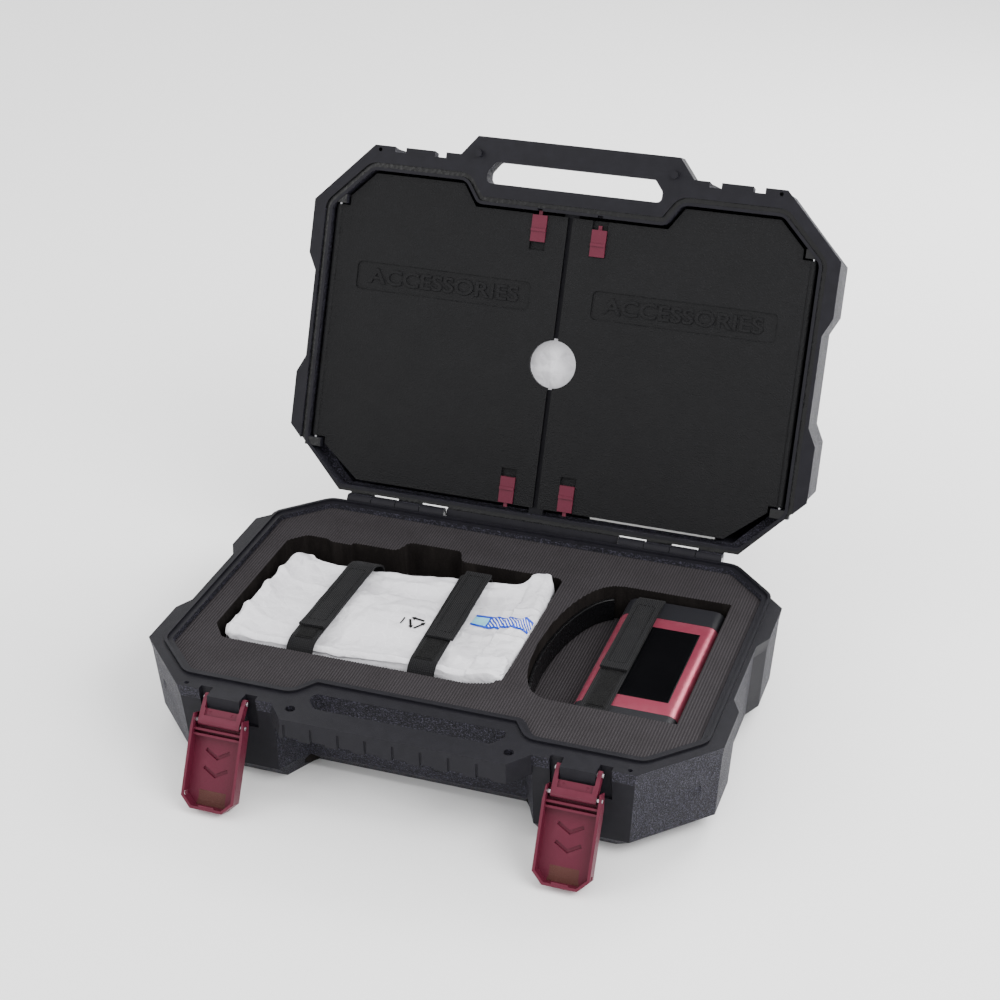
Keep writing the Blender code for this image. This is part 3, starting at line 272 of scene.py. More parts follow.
def noise_of(tree, scale, detail=3.0, roughness=0.55, stretch=None):
    """Noise on object coordinates; scale is a number or a socket."""
    place = tree.nodes.new("ShaderNodeTexCoord").outputs["Object"]
    if stretch:
        mapping = tree.nodes.new("ShaderNodeMapping")
        mapping.inputs["Scale"].default_value = stretch
        tree.links.new(place, mapping.inputs["Vector"])
        place = mapping.outputs["Vector"]
    node = tree.nodes.new("ShaderNodeTexNoise")
    tree.links.new(place, node.inputs["Vector"])
    feed(tree, node.inputs["Scale"], scale)
    node.inputs["Detail"].default_value = detail
    node.inputs["Roughness"].default_value = roughness
    return node.outputs["Fac"]


def cells_of(tree, scale, feature="F1"):
    place = tree.nodes.new("ShaderNodeTexCoord").outputs["Object"]
    node = tree.nodes.new("ShaderNodeTexVoronoi")
    node.feature = feature
    tree.links.new(place, node.inputs["Vector"])
    feed(tree, node.inputs["Scale"], scale)
    return node.outputs["Distance"]


def make_grain_group():
    """Moulded grain: a pebbled height, and lighter flecks that are partly the plastic's own speckle and
    partly painted glints where the pebbles catch light.
    """
    tree, given, made = new_group("moulded_grain", {"Scale": 900.0, "Flecks": 0.5}, ("Height", "Fleck"))
    pebbles = cells_of(tree, given.outputs["Scale"])
    fine = noise_of(tree, given.outputs["Scale"], 2.0, 0.6)
    height = math_node(tree, "ADD", pebbles, fine)
    tree.links.new(height, made.inputs["Height"])
    # Fleck mask: the plastic's speckle, lightened as painted glints.
    bright = ramp_value(tree, fine, 0.50, 0.68)
    tree.links.new(math_node(tree, "MULTIPLY", bright, given.outputs["Flecks"], True), made.inputs["Fleck"])
    return tree


def make_wear_group():
    """Edge wear: where the surface turns outwards sharply, broken up by noise."""
    tree, given, made = new_group("edge_wear", {"Amount": 0.5, "Breakup": 120.0}, ("Mask",))
    turn = tree.nodes.new("ShaderNodeNewGeometry").outputs["Pointiness"]
    edges = ramp_value(tree, turn, 0.515, 0.60)
    patches = ramp_value(tree, noise_of(tree, given.outputs["Breakup"], 4.0), 0.40, 0.65)
    worn = math_node(tree, "MULTIPLY", edges, patches, True)
    tree.links.new(math_node(tree, "MULTIPLY", worn, given.outputs["Amount"], True), made.inputs["Mask"])
    return tree


def make_dust_group():
    """Settled dust: a thin haze on what faces up, with a few specks."""
    tree, given, made = new_group("settled_dust", {"Amount": 0.1, "Specks": 700.0}, ("Mask",))
    split = tree.nodes.new("ShaderNodeSeparateXYZ")
    tree.links.new(tree.nodes.new("ShaderNodeNewGeometry").outputs["Normal"], split.inputs[0])
    upward = math_node(tree, "MAXIMUM", split.outputs["Z"], 0.15)
    haze = ramp_value(tree, noise_of(tree, 26.0, 5.0), 0.35, 0.75)
    specks = ramp_value(tree, noise_of(tree, given.outputs["Specks"], 1.0), 0.74, 0.80)
    both = math_node(tree, "ADD", haze, specks)
    lying = math_node(tree, "MULTIPLY", both, upward)
    tree.links.new(math_node(tree, "MULTIPLY", lying, given.outputs["Amount"], True), made.inputs["Mask"])
    return tree


def make_stripe_group():
    """Even lengthwise ribs across X: a height, and a painted shade that is dark in the grooves and light on
    the crests.
    """
    tree, given, made = new_group("lengthwise_ribs", {"Pitch": RIB_PITCH, "Weft": 0.0012},
                                  ("Height", "PaintedRibShade", "Weave"))
    split = tree.nodes.new("ShaderNodeSeparateXYZ")
    tree.links.new(tree.nodes.new("ShaderNodeTexCoord").outputs["Object"], split.inputs[0])
    turns = math_node(tree, "DIVIDE", split.outputs["X"], given.outputs["Pitch"])
    wave = math_node(tree, "COSINE", math_node(tree, "MULTIPLY", turns, 2 * math.pi))
    # Painted shade: a colour mask from the rib wave, dark in the grooves and light on the crests.
    painted_rib_shade = ramp_value(tree, wave, -0.6, 0.7)
    tree.links.new(wave, made.inputs["Height"])
    tree.links.new(painted_rib_shade, made.inputs["PaintedRibShade"])
    picks = math_node(tree, "DIVIDE", split.outputs["Y"], given.outputs["Weft"])
    stagger = math_node(tree, "ADD", picks, math_node(tree, "MULTIPLY", wave, 0.25))
    weft = math_node(tree, "SINE", math_node(tree, "MULTIPLY", stagger, 2 * math.pi))
    tree.links.new(math_node(tree, "MULTIPLY", weft, painted_rib_shade), made.inputs["Weave"])
    return tree


def make_crease_group():
    """Crumpled film: sharp straight creases between flat facets."""
    tree, given, made = new_group("film_creases", {"Scale": 60.0}, ("Height", "Line"))
    cells = cells_of(tree, given.outputs["Scale"], "DISTANCE_TO_EDGE")
    line = ramp_value(tree, cells, 0.0, 0.05, 1.0, 0.0)
    soft = noise_of(tree, given.outputs["Scale"], 4.0, 0.5)
    height = math_node(tree, "ADD", math_node(tree, "MULTIPLY", cells, 0.6), soft)
    tree.links.new(height, made.inputs["Height"])
    tree.links.new(line, made.inputs["Line"])
    return tree


GROUPS = {
    "grain": make_grain_group(),
    "wear": make_wear_group(),
    "dust": make_dust_group(),
    "ribs": make_stripe_group(),
    "creases": make_crease_group(),
}


# ---- finishes --------------------------------------------------------------------------------------
class Finish:
    """A material being put together: it holds the Principled shader and adds layers to it."""

    def __init__(self, name, colour, roughness, metallic=0.0):
        self.material = bpy.data.materials.new(name)
        self.material.use_nodes = True
        self.tree = self.material.node_tree
        self.shader = self.tree.nodes["Principled BSDF"]
        self.shader.inputs["Base Color"].default_value = (*colour, 1)
        self.shader.inputs["Roughness"].default_value = roughness
        self.shader.inputs["Metallic"].default_value = metallic
        self.colour = None
        self.rough = None
        self.normal = None

    def set(self, label, value):
        self.shader.inputs[label].default_value = value

    def group(self, key, **values):
        node = self.tree.nodes.new("ShaderNodeGroup")
        node.node_tree = GROUPS[key]
        for label, value in values.items():
            node.inputs[label].default_value = value
        return node.outputs

    def tint(self, mask, colour):
        """Mixes another colour in by a mask."""
        mix = self.tree.nodes.new("ShaderNodeMix")
        mix.data_type = "RGBA"
        if self.colour is None:
            mix.inputs["A"].default_value = self.shader.inputs["Base Color"].default_value
        else:
            self.tree.links.new(self.colour, mix.inputs["A"])
        mix.inputs["B"].default_value = (*colour, 1)
        self.tree.links.new(mask, mix.inputs["Factor"])
        self.colour = mix.outputs["Result"]
        self.tree.links.new(self.colour, self.shader.inputs["Base Color"])
        return self

    def roughen(self, mask, low, high):
        value = ramp_value(self.tree, mask, 0.0, 1.0, low, high)
        self.tree.links.new(value, self.shader.inputs["Roughness"])
        return self

    def bump(self, height, distance, strength=1.0):
        node = self.tree.nodes.new("ShaderNodeBump")
        node.inputs["Distance"].default_value = distance
        node.inputs["Strength"].default_value = strength
        self.tree.links.new(height, node.inputs["Height"])
        if self.normal is not None:
            self.tree.links.new(self.normal, node.inputs["Normal"])
        self.normal = node.outputs["Normal"]
        self.tree.links.new(self.normal, self.shader.inputs["Normal"])
        return self

    def mottle(self, scale, colour, low=0.4, high=0.7, stretch=None):
        """Slow colour variation."""
        patches = noise_of(self.tree, scale, 4.0, 0.6, stretch)
        return self.tint(ramp_value(self.tree, patches, low, high), colour)


def plastic(name, colour, roughness, lighter, grain_scale, grain_depth, fleck_glint_amount, worn, dust, gloss=0.16):
    """A moulded plastic: grain, flecks with painted glints, slow mottling, worn edges and a little dust."""
    finish = Finish(name, colour, roughness)
    finish.set("Specular IOR Level", gloss)
    grain = finish.group("grain", Scale=grain_scale, Flecks=fleck_glint_amount)
    finish.mottle(18.0, [c * 0.90 for c in colour])
    # Lighter flecks: speckle in the plastic, partly painted glints.
    finish.tint(grain["Fleck"], lighter)
    finish.tint(finish.group("wear", Amount=worn)["Mask"], lighter)
    finish.tint(finish.group("dust", Amount=dust)["Mask"], (0.14, 0.135, 0.13))
    finish.roughen(noise_of(finish.tree, 45.0), roughness - 0.08, roughness + 0.12)
    finish.bump(grain["Height"], grain_depth)
    return finish.material


def metal(name, colour, roughness, brushed):
    finish = Finish(name, colour, roughness, 1.0)
    streaks = noise_of(finish.tree, 300.0, 3.0, 0.6, brushed)
    finish.tint(ramp_value(finish.tree, streaks, 0.3, 0.8), [c * 0.7 for c in colour])
    finish.roughen(streaks, roughness - 0.1, roughness + 0.15)
    finish.bump(streaks, 0.00002)
    return finish.material


def make_foam_skin():
    finish = Finish("ribbed_foam", (0.045, 0.0405, 0.0440), 0.92)
    finish.set("Specular IOR Level", 0.08)
    ribs = finish.group("ribs", Pitch=RIB_PITCH)
    finish.mottle(30.0, (0.037, 0.033, 0.0355))
    # Painted shade: the foam colour is darkened in the rib grooves.
    painted_groove_shade = ramp_value(finish.tree, ribs["PaintedRibShade"], 0.0, 1.0, 0.75, 0.0)
    finish.tint(painted_groove_shade, (0.010, 0.0088, 0.0095))
    grain = finish.group("grain", Scale=1500.0, Flecks=0.25)
    # Lighter foam flecks: partly speckle, partly painted glints.
    finish.tint(grain["Fleck"], (0.10, 0.094, 0.10))
    finish.bump(grain["Height"], 0.0001)
    finish.bump(ribs["Height"], 0.00015)
    return finish.material


def make_foam_cut():
    """Knife-cut foam: darker, with slanted blade marks down the wall."""
    finish = Finish("cut_foam", (0.0075, 0.0063, 0.0060), 0.95)
    finish.set("Specular IOR Level", 0.05)
    streaks = noise_of(finish.tree, 60.0, 4.0, 0.7, (1.0, 1.0, 0.25))
    finish.tint(ramp_value(finish.tree, streaks, 0.45, 0.75), (0.017, 0.0145, 0.0135))
    grain = finish.group("grain", Scale=1300.0, Flecks=0.3)
    # Lighter flecks on the cut foam: partly speckle, partly painted glints.
    finish.tint(grain["Fleck"], (0.024, 0.021, 0.020))
    finish.bump(streaks, 0.0006)
    finish.bump(grain["Height"], 0.00015)
    return finish.material


def make_film():
    """Milky packing film: soft light through it, fine creases and cloudy folds."""
    finish = Finish("packing_film", (0.76, 0.75, 0.785), 0.38)
    creases = finish.group("creases", Scale=85.0)
    finish.mottle(22.0, (0.72, 0.71, 0.745), 0.35, 0.75)
    finish.tint(ramp_value(finish.tree, creases["Line"], 0.0, 1.0, 0.0, 0.35), (0.93, 0.93, 0.95))
    finish.roughen(noise_of(finish.tree, 70.0), 0.28, 0.5)
    finish.bump(creases["Height"], 0.0022, 0.8)
    fine = finish.group("creases", Scale=310.0)
    finish.bump(fine["Height"], 0.0004, 0.5)
    finish.set("Subsurface Weight", 0.12)
    finish.set("Subsurface Radius", (0.004, 0.004, 0.004))
    return finish.material


def make_webbing():
    finish = Finish("black_webbing", (0.0050, 0.0050, 0.0058), 0.78)
    finish.set("Specular IOR Level", 0.1)
    ribs = finish.group("ribs", Pitch=WEB_PITCH, Weft=0.0011)
    # Painted highlight on the rib crests, with painted shade left in the grooves.
    finish.tint(ramp_value(finish.tree, ribs["PaintedRibShade"], 0.0, 1.0, 0.0, 0.6), (0.0135, 0.0135, 0.0150))
    finish.mottle(60.0, (0.0095, 0.0092, 0.0098), 0.5, 0.8)
    lint = ramp_value(finish.tree, noise_of(finish.tree, 2600.0, 1.0), 0.66, 0.74, 0.0, 0.35)
    finish.tint(lint, (0.06, 0.06, 0.065))
    finish.bump(ribs["Weave"], 0.00018)
    finish.bump(ribs["Height"], 0.00012)
    finish.set("Sheen Weight", 0.04)
    return finish.material


def make_hook_pile():
    finish = Finish("hook_pile", (0.0030, 0.0030, 0.0032), 0.95)
    finish.set("Specular IOR Level", 0.08)
    pile = noise_of(finish.tree, 1700.0, 3.0, 0.8)
    finish.tint(ramp_value(finish.tree, pile, 0.5, 0.8), (0.020, 0.020, 0.021))
    finish.bump(pile, 0.0006)
    finish.set("Sheen Weight", 0.05)
    return finish.material


def make_sleeve():
    """Anodised sleeve: satin rose metal with a very fine blast texture."""
    finish = Finish("anodised_sleeve", (0.31, 0.046, 0.082), 0.34, 0.55)
    blast = noise_of(finish.tree, 4200.0, 2.0, 0.7)
    finish.mottle(14.0, (0.27, 0.038, 0.070))
    finish.tint(ramp_value(finish.tree, blast, 0.5, 0.75, 0.0, 0.16), (0.46, 0.12, 0.17))
    finish.tint(finish.group("wear", Amount=0.35)["Mask"], (0.50, 0.24, 0.27))
    finish.roughen(noise_of(finish.tree, 55.0), 0.28, 0.42)
    finish.bump(blast, 0.00003)
    return finish.material


def make_glass():
    finish = Finish("display_glass", (0.0016, 0.0016, 0.0021), 0.12)
    smears = noise_of(finish.tree, 24.0, 5.0, 0.6)
    finish.roughen(ramp_value(finish.tree, smears, 0.4, 0.75), 0.10, 0.24)
    specks = ramp_value(finish.tree, noise_of(finish.tree, 1500.0, 1.0), 0.76, 0.80, 0.0, 0.5)
    finish.tint(specks, (0.05, 0.05, 0.055))
    finish.set("Specular IOR Level", 0.2)
    return finish.material


def make_paper():
    finish = Finish("guide_paper", (0.80, 0.80, 0.79), 0.75)
    fibres = noise_of(finish.tree, 900.0, 4.0, 0.7, (1.0, 0.3, 1.0))
    finish.tint(ramp_value(finish.tree, fibres, 0.4, 0.8), (0.72, 0.72, 0.70))
    finish.bump(fibres, 0.00006)
    return finish.material


def make_tape():
    """Blue tape with slanted white bars and a pale end panel, laid out along the tape's own UV."""
    finish = Finish("striped_tape", (0.002, 0.045, 0.50), 0.3)
    split = finish.tree.nodes.new("ShaderNodeSeparateXYZ")
    uv = finish.tree.nodes.new("ShaderNodeTexCoord").outputs["UV"]
    finish.tree.links.new(uv, split.inputs[0])
    along, across = split.outputs["X"], split.outputs["Y"]
    tree = finish.tree
    slant = math_node(tree, "ADD", math_node(tree, "MULTIPLY", along, 17.0),
                      math_node(tree, "MULTIPLY", across, 4.2))
    bars = math_node(tree, "GREATER_THAN", math_node(tree, "FRACT", slant), 0.58)
    inside = math_node(tree, "MULTIPLY", math_node(tree, "GREATER_THAN", across, 0.14),
                       math_node(tree, "LESS_THAN", across, 0.86))
    printed = math_node(tree, "MULTIPLY", math_node(tree, "GREATER_THAN", along, 0.27), inside)
    finish.tint(math_node(tree, "MULTIPLY", bars, printed), (0.82, 0.84, 0.90))
    panel = math_node(tree, "MULTIPLY", math_node(tree, "LESS_THAN", along, 0.24), inside)
    finish.tint(panel, (0.28, 0.66, 0.80))
    finish.bump(noise_of(tree, 400.0), 0.00008)
    return finish.material


def make_board():
    finish = Finish("circuit_board", (0.012, 0.085, 0.035), 0.45)
    tracks = cells_of(finish.tree, 420.0, "DISTANCE_TO_EDGE")
    finish.tint(ramp_value(finish.tree, tracks, 0.0, 0.08, 0.6, 0.0), (0.03, 0.20, 0.08))
    finish.bump(tracks, 0.0001)
    return finish.material


FINISH = {
    "grained": plastic("grained_case", (0.0085, 0.0083, 0.0115), 0.50, (0.078, 0.074, 0.106), 1000.0, 0.0010,
                       0.85, 0.04, 0.006, 0.17),
    "satin": plastic("satin_rim", (0.0075, 0.0072, 0.0098), 0.44, (0.036, 0.035, 0.045), 2600.0, 0.00006,
                     0.06, 0.06, 0.006, 0.13),
    "door": plastic("leather_grain_door", (0.0030, 0.0030, 0.0036), 0.46, (0.014, 0.014, 0.016), 950.0,
                    0.0004, 0.20, 0.06, 0.006, 0.15),
    "maroon": plastic("maroon_nylon", (0.082, 0.0085, 0.0215), 0.38, (0.17, 0.04, 0.065), 2200.0, 0.00006,
                      0.05, 0.10, 0.005, 0.20),
    "brown": plastic("worn_maroon", (0.070, 0.024, 0.020), 0.5, (0.12, 0.06, 0.05), 1500.0, 0.0001,
                     0.2, 0.2, 0.02),
    "liner": plastic("glossy_liner", (0.0035, 0.0035, 0.004), 0.25, (0.012, 0.012, 0.014), 300.0, 0.0002,
                     0.1, 0.2, 0.02, 0.26),
    "cap": plastic("cap_plastic", (0.010, 0.010, 0.0125), 0.44, (0.03, 0.03, 0.036), 2400.0, 0.00006,
                   0.12, 0.08, 0.008, 0.20),
    "unit": plastic("unit_plastic", (0.03, 0.03, 0.032), 0.5, (0.08, 0.08, 0.085), 1500.0, 0.0001,
                    0.1, 0.2, 0.0),
    "thread": plastic("black_thread", (0.003, 0.003, 0.0035), 0.7, (0.02, 0.02, 0.02), 3000.0, 0.0001,
                      0.3, 0.0, 0.0, 0.1),
    "ink": plastic("print_ink", (0.006, 0.006, 0.006), 0.6, (0.02, 0.02, 0.02), 2000.0, 0.00005,
                   0.1, 0.0, 0.0, 0.1),
    "cell": plastic("battery_wrap", (0.06, 0.08, 0.22), 0.4, (0.2, 0.22, 0.4), 900.0, 0.0001, 0.1, 0.1, 0.0),
    "steel": metal("pin_steel", (0.55, 0.55, 0.57), 0.3, (0.05, 1.0, 1.0)),
    "brass": metal("port_brass", (0.72, 0.52, 0.20), 0.28, (1.0, 0.05, 1.0)),
    "foam": make_foam_skin(),
    "foam_cut": make_foam_cut(),
    "film": make_film(),
    "webbing": make_webbing(),
    "hooks": make_hook_pile(),
    "sleeve": make_sleeve(),
    "glass": make_glass(),
    "paper": make_paper(),
    "tape": make_tape(),
    "board": make_board(),
}


# ---- case ------------------------------------------------------------------------------------------
def add_corner_recess(shell, side_x, side_y, low, high, space=None):
    """The shallow flat between the foot and the side pad on one cut-off corner."""
    turn = math.atan2(side_y * CORNER[0], side_x * CORNER[1])
    bpy.ops.mesh.primitive_cube_add(size=1, location=(side_x * 0.1962, side_y * 0.1190, (low + high) / 2),
                                    rotation=(0, 0, turn))
    cutter = bpy.context.object
    cutter.scale = (0.0104, 0.040, high - low)
    settle(cutter, space)
    soften(cutter, 0.0018, 3)
    carve(shell, cutter)


def add_grip_grooves(shell):
    """Eight finger grooves down the front of the handle bar, each with a notch under its edge."""
    edge = FRONT - 0.016
    first, pitch, count = -0.0810, 0.02056, 8
    slot = rod((first, edge, 0.0655), (0, 0, 1), 0.0009, 0.0120, 12)
    carve(shell, repeated(slot, (pitch, 0, 0), count))
    notch = box((first - 0.0005, first + 0.0105), (edge - 0.001, edge + 0.0035), (0.0585, 0.0613))
    carve(shell, repeated(notch, (pitch, 0, 0), count))


def on_base_wall(point):
    """True on the outer wall's own edges, clear of the latch slots and the handle."""
    outside = abs(point.x) > 0.155 or point.y > 0.10
    return outside and 0.0005 < point.z < RIM - 0.0075 and not (abs(point.x) < 0.165 and point.y > 0.140)


def on_lid_wall(point):
    """The same for the lid, whose outer face is rounded too."""
    at = LID_FRAME.inverted() @ point
    outside = abs(at.x) > 0.160 or at.z > 0.06
    return outside and at.z > 0.0085 and not 0.108 < abs(at.x) < 0.156


def make_base_shell():
    shell = copy_of("base_shell")
    round_edges(shell, 0.0030, on_base_wall)
    for side_x in (-1, 1):
        add_corner_recess(shell, side_x, -1, -0.004, 0.047)
        hole = rod((side_x * 0.166, -0.1395, RIM), (0, 0, 1), 0.0018, 0.012, 16)
        carve(shell, hole)
    add_grip_grooves(shell)
    sole = soften(box((-0.135, 0.135), (-0.072, 0.100), (-0.0010, 0.0012)), 0.0008)
    carve(shell, sole)
    soften(shell, 0.0009, 2, 30)
    dress(shell, FINISH["grained"], FINISH["satin"])
    paint_where(shell, 1, lambda c, n: c.z > RIM - 0.0045 and abs(n.z) > 0.3)
    paint_where(shell, 1, lambda c, n: c.y < -0.1442 and abs(c.x) < 0.0972 and c.z > RIM - 0.0172)
    paint_where(shell, 1, lambda c, n: c.z > RIM - 0.0006 or (abs(c.x) > 0.2 and 0.0365 < c.y < 0.0495))
    paint_where(shell, 1, lambda c, n: abs(abs(c.x) - LATCH_X) < 0.0230 and c.y < -0.138 and c.z > 0.048)
    fit(shell, "base_case_half", "base_shell")


def make_lid_shell():
    shell = copy_of("lid_shell")
    round_edges(shell, 0.0026, on_lid_wall)
    for side in (-1, 1):
        add_corner_recess_in_lid(shell, side)
        hole = rod((side * 0.167, -0.290, 0.0), (0, 0, 1), 0.0016, 0.012, 16, LID_FRAME)
        carve(shell, hole)
    for side_x in (-1, 1):
        panel = box((side_x * 0.012, side_x * 0.150), (-0.245, -0.040), (0.0748, 0.0790))
        edit_all(panel, bpy.ops.mesh.bevel, offset=0.0008, segments=2)
        carve(shell, settle(panel, LID_FRAME))
    soften(shell, 0.0008, 2, 30)
    dress(shell, FINISH["grained"], FINISH["satin"], FINISH["liner"])
    inward = LID_FRAME.to_3x3() @ Vector((0, 0, -1))
    back_to_lid = LID_FRAME.inverted()
    paint_where(shell, 1, lambda c, n: (back_to_lid @ c).z < 0.012 and n.dot(inward) > 0.4)
    paint_where(shell, 1, lambda c, n: (back_to_lid @ c).y < -0.2945 and abs(c.x) < 0.0972)
    paint_where(shell, 2, lambda c, n: in_seal_groove(back_to_lid @ c))
    fit(shell, "lid_case_half", "lid_shell")


def add_corner_recess_in_lid(shell, side):
    """The lid's corners carry the same flats as the base's front ones, at both ends."""
    to_case = LID_FRAME @ Matrix.Translation((0, -HINGE.y, 0))
    for side_y in (-1, 1):
        add_corner_recess(shell, side, side_y, 0.028, 0.082, to_case)


def in_seal_groove(point):
    """True inside the black groove round the opening."""
    return 0.0008 < point.z < 0.0034 and abs(point.x) < 0.2098


# ---- doors in the lid --------------------------------------------------------------------------------
def add_lettering(side):
    """The raised word on a door's plate: generic block capitals."""
    bpy.ops.object.text_add(location=(0, 0, 0))
    word = bpy.context.object
    set_all(word.data, body="ACCESSORIES", align_x="CENTER", align_y="CENTER", size=0.0172, offset=0.00012,
            extrude=0.00050, bevel_depth=0.00028, bevel_resolution=2)
    only(word)
    bpy.ops.object.convert(target="MESH")
    word = bpy.context.object
    width = word.dimensions.x
    word.scale = (0.131 / width, 1.0, 1.0)
    place = Matrix.Translation((side * 0.1010, -0.1862, 0.0054)) @ Matrix.Rotation(math.pi, 4, "X")
    return settle(word, LID_FRAME @ place)


def add_slider_ribs(side, near, way):
    """Fine cross ribs on the floor of a slider's pocket."""
    middle, half = side * SLIDER_X, 0.0054
    rib = box((middle - half, middle + half), (-near, -near + 0.0005), (0.00655, 0.0070))
    repeated(rib, (0, way * 0.0014, 0), 5)
    return settle(rib, LID_FRAME)


def make_door(word, side):
    node = f"accessory_door_{word}"
    door = copy_of(node)
    soften(door, 0.0006, 2, 30)
    dress(door, FINISH["door"], FINISH["satin"])
    letters = dress(add_lettering(side), FINISH["door"])
    top_near = 0.2240 if side < 0 else 0.2468
    ribs = joined(add_slider_ribs(side, top_near, -1), add_slider_ribs(side, 0.0448, 1))
    dress(ribs, FINISH["door"])
    door = joined(door, smooth(letters, 50), ribs)
    fit(door, f"door_{word}_with_label", node)


def make_slider(word, end):
    node = f"door_slider_{word}_{end}"
    plain_part(node, f"{node}_tab", "maroon", 0.0004, 2, 30)


def make_quick_guide():
    """A folded leaflet of three thin leaves whose free corners lift a little."""
    leaves = []
    for i in range(3):
        leaf = sheet((0.104 - i * 0.0016, 0.1455 - i * 0.0012), (14, 18),
                     (0.0975, -0.08675, 0.01195 + i * 0.00045))
        for vertex in leaf.data.vertices:
            corner = max(0.0, (vertex.co.x - 0.120) / 0.03) * max(0.0, (vertex.co.y + 0.045) / 0.03)
            vertex.co.z += 0.00035 * corner * i + 0.0001 * noise.noise(vertex.co * 30)
        leaves.append(changed(leaf, "SOLIDIFY", thickness=0.0002))
    guide = settle(joined(*leaves), LID_FRAME)
    dress(smooth(guide), FINISH["paper"])
    fit(guide, "folded_quick_guide", "quick_guide")


# ---- latches -----------------------------------------------------------------------------------------
def add_chevron(lever, z, space):
    """A sunk chevron in the lever's floor that points to the free end."""
    arms = []
    for side in (-1, 1):
        bpy.ops.mesh.primitive_cube_add(size=1, location=(side * 0.0042, 0.0040, z),
                                        rotation=(0, -side * math.radians(30), 0))
        arm = bpy.context.object
        arm.scale = (0.0115, 0.0022, 0.0027)
        arms.append(settle(arm))
    vee = carve(arms[0], arms[1], "UNION")
    carve(lever, settle(vee, space))


def make_lever(word, side):
    node = f"latch_{word}_lever"
    x = side * LATCH_X
    space = Matrix.Translation((x, *LEVER_PIVOT)) @ Matrix.Rotation(LEVER_HANGS, 4, "X")
    lever = copy_of(node)
    for z in (-0.0235, -0.0365):
        add_chevron(lever, z, space)
    slot = box((side * 0.0180, side * 0.0215), (-0.0036, 0.0012), (-0.0565, -0.0515), space)
    carve(lever, slot)
    panel = box((-0.0105, 0.0105), (0.0030, 0.0037), (-0.0570, -0.0500), space)
    carve(lever, soften(panel, 0.0002))
    for z in (-0.0062, -0.0100):
        rib = box((-LEVER_INSIDE, LEVER_INSIDE), (-0.0022, 0.0042), (z - 0.0008, z + 0.0008), space)
        carve(lever, rib, "UNION")
    tab = box((-0.0060, 0.0060), (-0.0049, -0.0036), (-0.0622, -0.0598), space)
    carve(lever, tab, "UNION")
    soften(lever, 0.00055, 2, 30)
    dress(lever, FINISH["maroon"], FINISH["brown"])
    back = space.inverted()
    paint_where(lever, 1, lambda c, n: (back @ c).z < -0.0485 and 0.0025 < (back @ c).y < 0.0040)
    fit(lever, f"{node}_cup", node)


def make_link(word, side):
    node = f"latch_{word}_link"
    link = copy_of(node)
    space = Matrix.Translation((side * LATCH_X, *LINK_PIVOT)) @ Matrix.Rotation(LINK_HANGS, 4, "X")
    for x in (-0.0085, 0.0085):
        carve(link, rod((x, -0.0015, -0.0108), (0, 1, 0), 0.0011, 0.0008, 20, space))
    soften(link, 0.0005, 2, 30)
    dress(link, FINISH["maroon"])
    fit(link, f"{node}_frame", node)


# ---- foam --------------------------------------------------------------------------------------------
def cut_ribs(foam, level):
    """Fine lengthwise grooves pressed into the top of a foam sheet."""
    groove = rod((-0.2046, 0, level + 0.00012), (0, 1, 0), 0.00062, 0.30, 8)
    carve(foam, repeated(groove, (RIB_PITCH, 0, 0), 187))
    paint_where(foam, 1, lambda c, n: n.z < 0.3)
    return foam


def make_foam():
    top = dress(copy_of("foam_top"), FINISH["foam"], FINISH["foam_cut"])
    cut_ribs(top, FOAM_TOP)
    fit(top, "pick_out_foam", "foam_top")
    floor = dress(copy_of("foam_floor"), FINISH["foam"], FINISH["foam_cut"])
    cut_ribs(floor, FLOOR_TOP)
    fit(floor, "foam_base_sheet", "foam_floor")
    plain_part("pocket_liner", "curved_pocket_liner", "liner", 0.0007)


# ---- bags --------------------------------------------------------------------------------------------
def slack_film(piece, cap, growth, pressure):
    """Lets a remeshed closed bag crumple: its film is a little too big for what it holds."""
    only(piece)
    rest = [vertex.co.copy() for vertex in piece.data.vertices]
    cloth = piece.modifiers.new("slack", "CLOTH")
    set_all(cloth.settings, quality=5, mass=0.05, tension_stiffness=30, compression_stiffness=30,
            shear_stiffness=10, bending_stiffness=0.02, shrink_min=-growth, use_pressure=True,
            uniform_pressure_force=pressure)
    cloth.settings.effector_weights.gravity = 0
    set_all(cloth.point_cache, frame_start=1, frame_end=CLOTH_FRAMES)
    for step in range(1, CLOTH_FRAMES + 1):
        bpy.context.scene.frame_set(step)
    bpy.ops.object.modifier_apply(modifier=cloth.name)
    bpy.context.scene.frame_set(1)
    for vertex, start in zip(piece.data.vertices, rest):
        move = vertex.co - start
        if move.length > cap:
            vertex.co = start + move * (cap / move.length)
    return piece


def pillow(x, y, z, corner, voxel, slant=0.0):
    """A round-cornered closed bag, remeshed finely enough to crease."""
    bag = box(x, y, z)
    for vertex in bag.data.vertices:
        if vertex.co.y > (y[0] + y[1]) / 2:
            vertex.co.y -= slant * (x[1] - vertex.co.x) / (x[1] - x[0])
    edit_all(bag, bpy.ops.mesh.bevel, offset=corner, segments=3)
    return changed(bag, "REMESH", mode="VOXEL", voxel_size=voxel)


def ridge(point, scale, seed, stretch=(1, 1, 1)):
    """Ridged noise, sharp at its crests, from 0 to 1."""
    at = Vector([c * s * scale for c, s in zip(point, stretch)]) + Vector((seed, seed * 0.7, 0))
    return 1.0 - min(1.0, abs(noise.noise(at)) * 2.6)


def ease(value):
    """A smooth step from 0 to 1."""
    value = min(1.0, max(0.0, value))
    return value * value * (3 - 2 * value)


